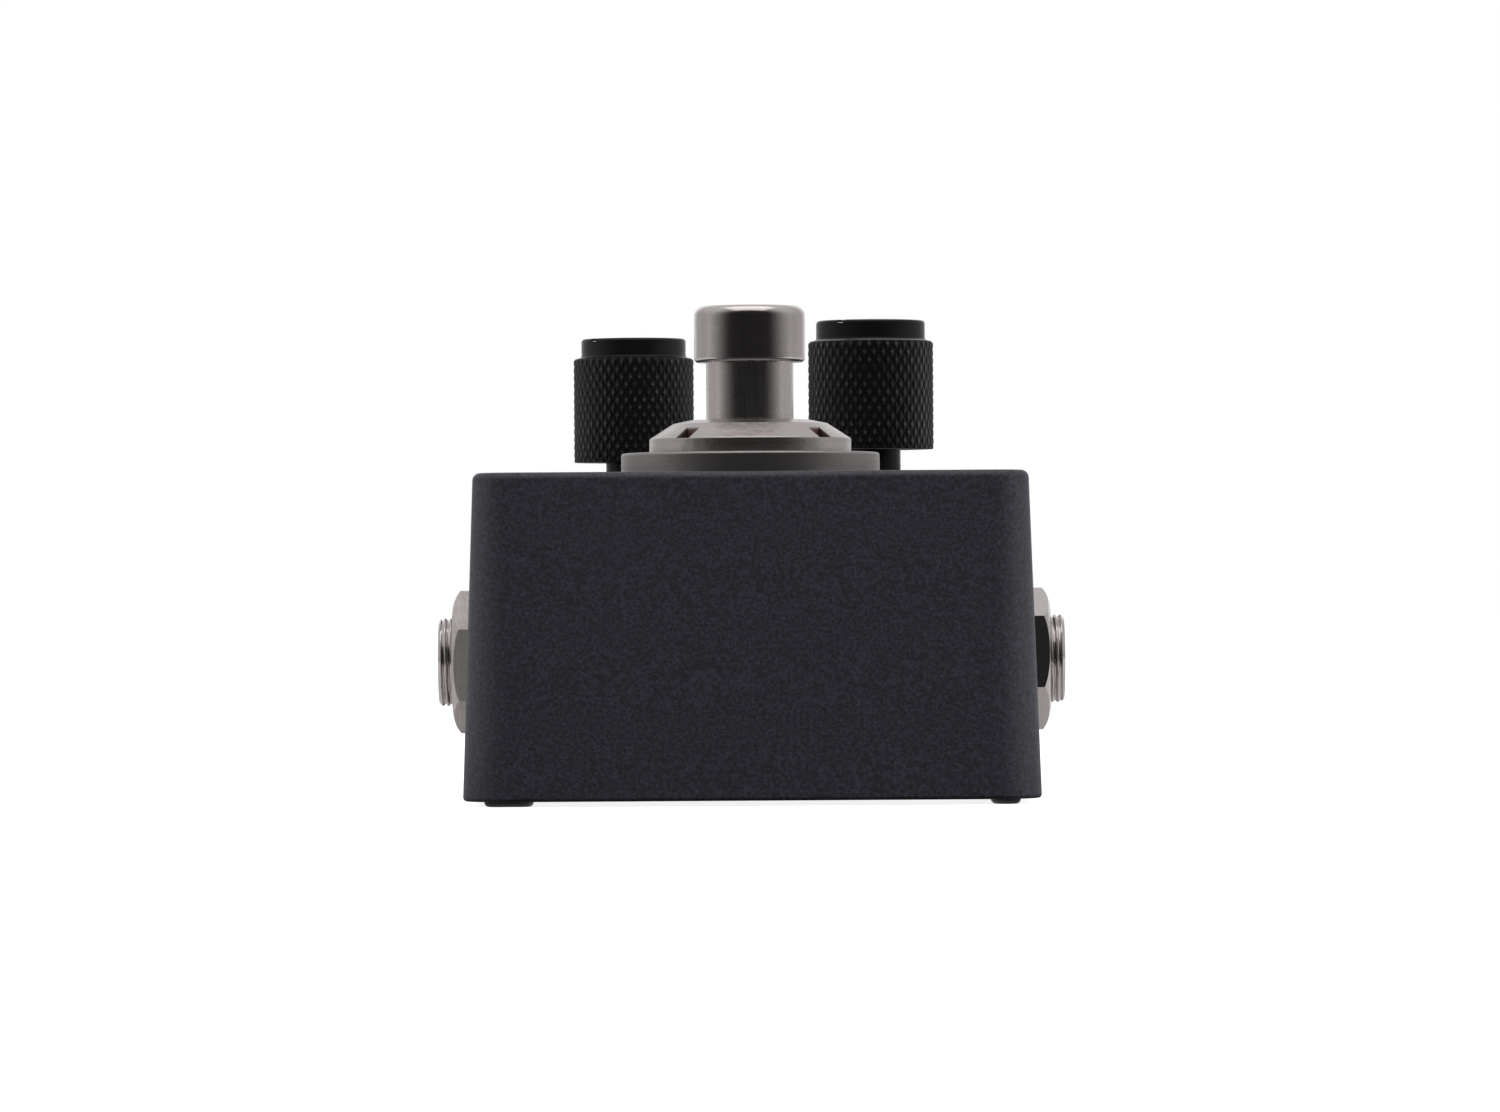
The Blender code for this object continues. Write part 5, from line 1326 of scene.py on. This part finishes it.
class PEDAL_OT_stage(bpy.types.Operator):
    """Sets up the floor, the light tent, the lamps and the camera"""

    bl_idname = "pedal.stage"
    bl_label = "Stage"

    def execute(self, context):
        stage = context.scene.pedal_stage
        context.scene.view_settings.view_transform = "Standard"
        context.scene.world = light_tent()
        floor = bpy.data.objects.new("floor", mesh_of("floor", floor_shape()))
        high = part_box("enclosure")[1]
        floor.data.materials.append(white_floor(context.scene.pedal_colours, high.x, high.y))
        context.scene.collection.objects.link(floor)
        self.add_lamp(context, "front_fill", *FRONT_FILL, stage.fill_power)
        self.add_lamp(context, "left_fill", *LEFT_FILL, stage.side_power)
        self.add_lamp(context, "right_fill", *RIGHT_FILL, stage.side_power * RIGHT_FILL_GAIN)
        self.add_lamp(context, "top_light", *TOP_LIGHT, stage.top_power, glossy=True)
        self.add_camera(context, stage)
        return {"FINISHED"}

    def add_lamp(self, context, name, place, size, power, glossy=False):
        """A square soft light that points at the pedal. Only a glossy one shows in the metal."""
        lamp = bpy.data.lights.new(name, "AREA")
        lamp.shape = "SQUARE"
        lamp.size = size
        lamp.energy = power
        holder = bpy.data.objects.new(name, lamp)
        holder.location = place
        holder.rotation_euler = (-Vector(place)).to_track_quat("-Z", "Y").to_euler()
        holder.visible_camera = False
        holder.visible_glossy = glossy
        context.scene.collection.objects.link(holder)

    def add_camera(self, context, stage):
        """A level long lens, tilted up until the eye line lies on its own picture row."""
        lens = bpy.data.cameras.new("camera")
        lens.sensor_width = SENSOR_WIDTH_MM
        lens.lens = lens.sensor_width * stage.focal_pixels / stage.picture_width
        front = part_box("enclosure")[0].y
        pixel = stage.stand_off / stage.focal_pixels
        aside = (stage.picture_width / 2 - stage.middle_column) * pixel
        pitch = math.atan((stage.eye_line - stage.picture_height / 2) / stage.focal_pixels)
        camera = bpy.data.objects.new("camera", lens)
        place = Matrix.Translation((aside, front - stage.stand_off, stage.eye_height))
        tilt = Matrix.Rotation(math.pi / 2 + pitch, 4, "X") @ Matrix.Rotation(-stage.roll, 4, "Z")
        camera.matrix_world = place @ tilt
        context.scene.collection.objects.link(camera)
        context.scene.camera = camera


class PEDAL_PT_sidebar(bpy.types.Panel):
    """Lists the sizes, the colours and the steps that build the pedal"""

    bl_label = "Stompbox Volume Pedal"
    bl_idname = "PEDAL_PT_sidebar"
    bl_space_type = "VIEW_3D"
    bl_region_type = "UI"
    bl_category = "Pedal"

    def draw(self, context):
        for step in BUILD_STEPS:
            self.layout.operator(step.bl_idname)
        for settings in (context.scene.pedal_sizes, context.scene.pedal_colours, context.scene.pedal_stage):
            column = self.layout.box().column()
            for name in settings.bl_rna.properties.keys():
                if name not in ("rna_type", "name"):
                    column.prop(settings, name)


BUILD_STEPS = (
    PEDAL_OT_cast_box,
    PEDAL_OT_base,
    PEDAL_OT_footswitch,
    PEDAL_OT_return_spring,
    PEDAL_OT_knobs,
    PEDAL_OT_jacks,
    PEDAL_OT_socket_and_light,
    PEDAL_OT_inner_pieces,
    PEDAL_OT_stage,
)
SETTINGS = {"pedal_sizes": PedalSizes, "pedal_colours": PedalColours, "pedal_stage": PedalStage}


def register():
    for group in SETTINGS.values():
        bpy.utils.register_class(group)
    for step in BUILD_STEPS:
        bpy.utils.register_class(step)
    bpy.utils.register_class(PEDAL_PT_sidebar)
    for name, group in SETTINGS.items():
        setattr(bpy.types.Scene, name, PointerProperty(type=group))


def unregister():
    for name in SETTINGS:
        delattr(bpy.types.Scene, name)
    bpy.utils.unregister_class(PEDAL_PT_sidebar)
    for made in (*reversed(BUILD_STEPS), *reversed(SETTINGS.values())):
        bpy.utils.unregister_class(made)


def main():
    register()
    for step in BUILD_STEPS:
        area, name = step.bl_idname.split(".")
        getattr(getattr(bpy.ops, area), name)()


if __name__ == "__main__":
    main()
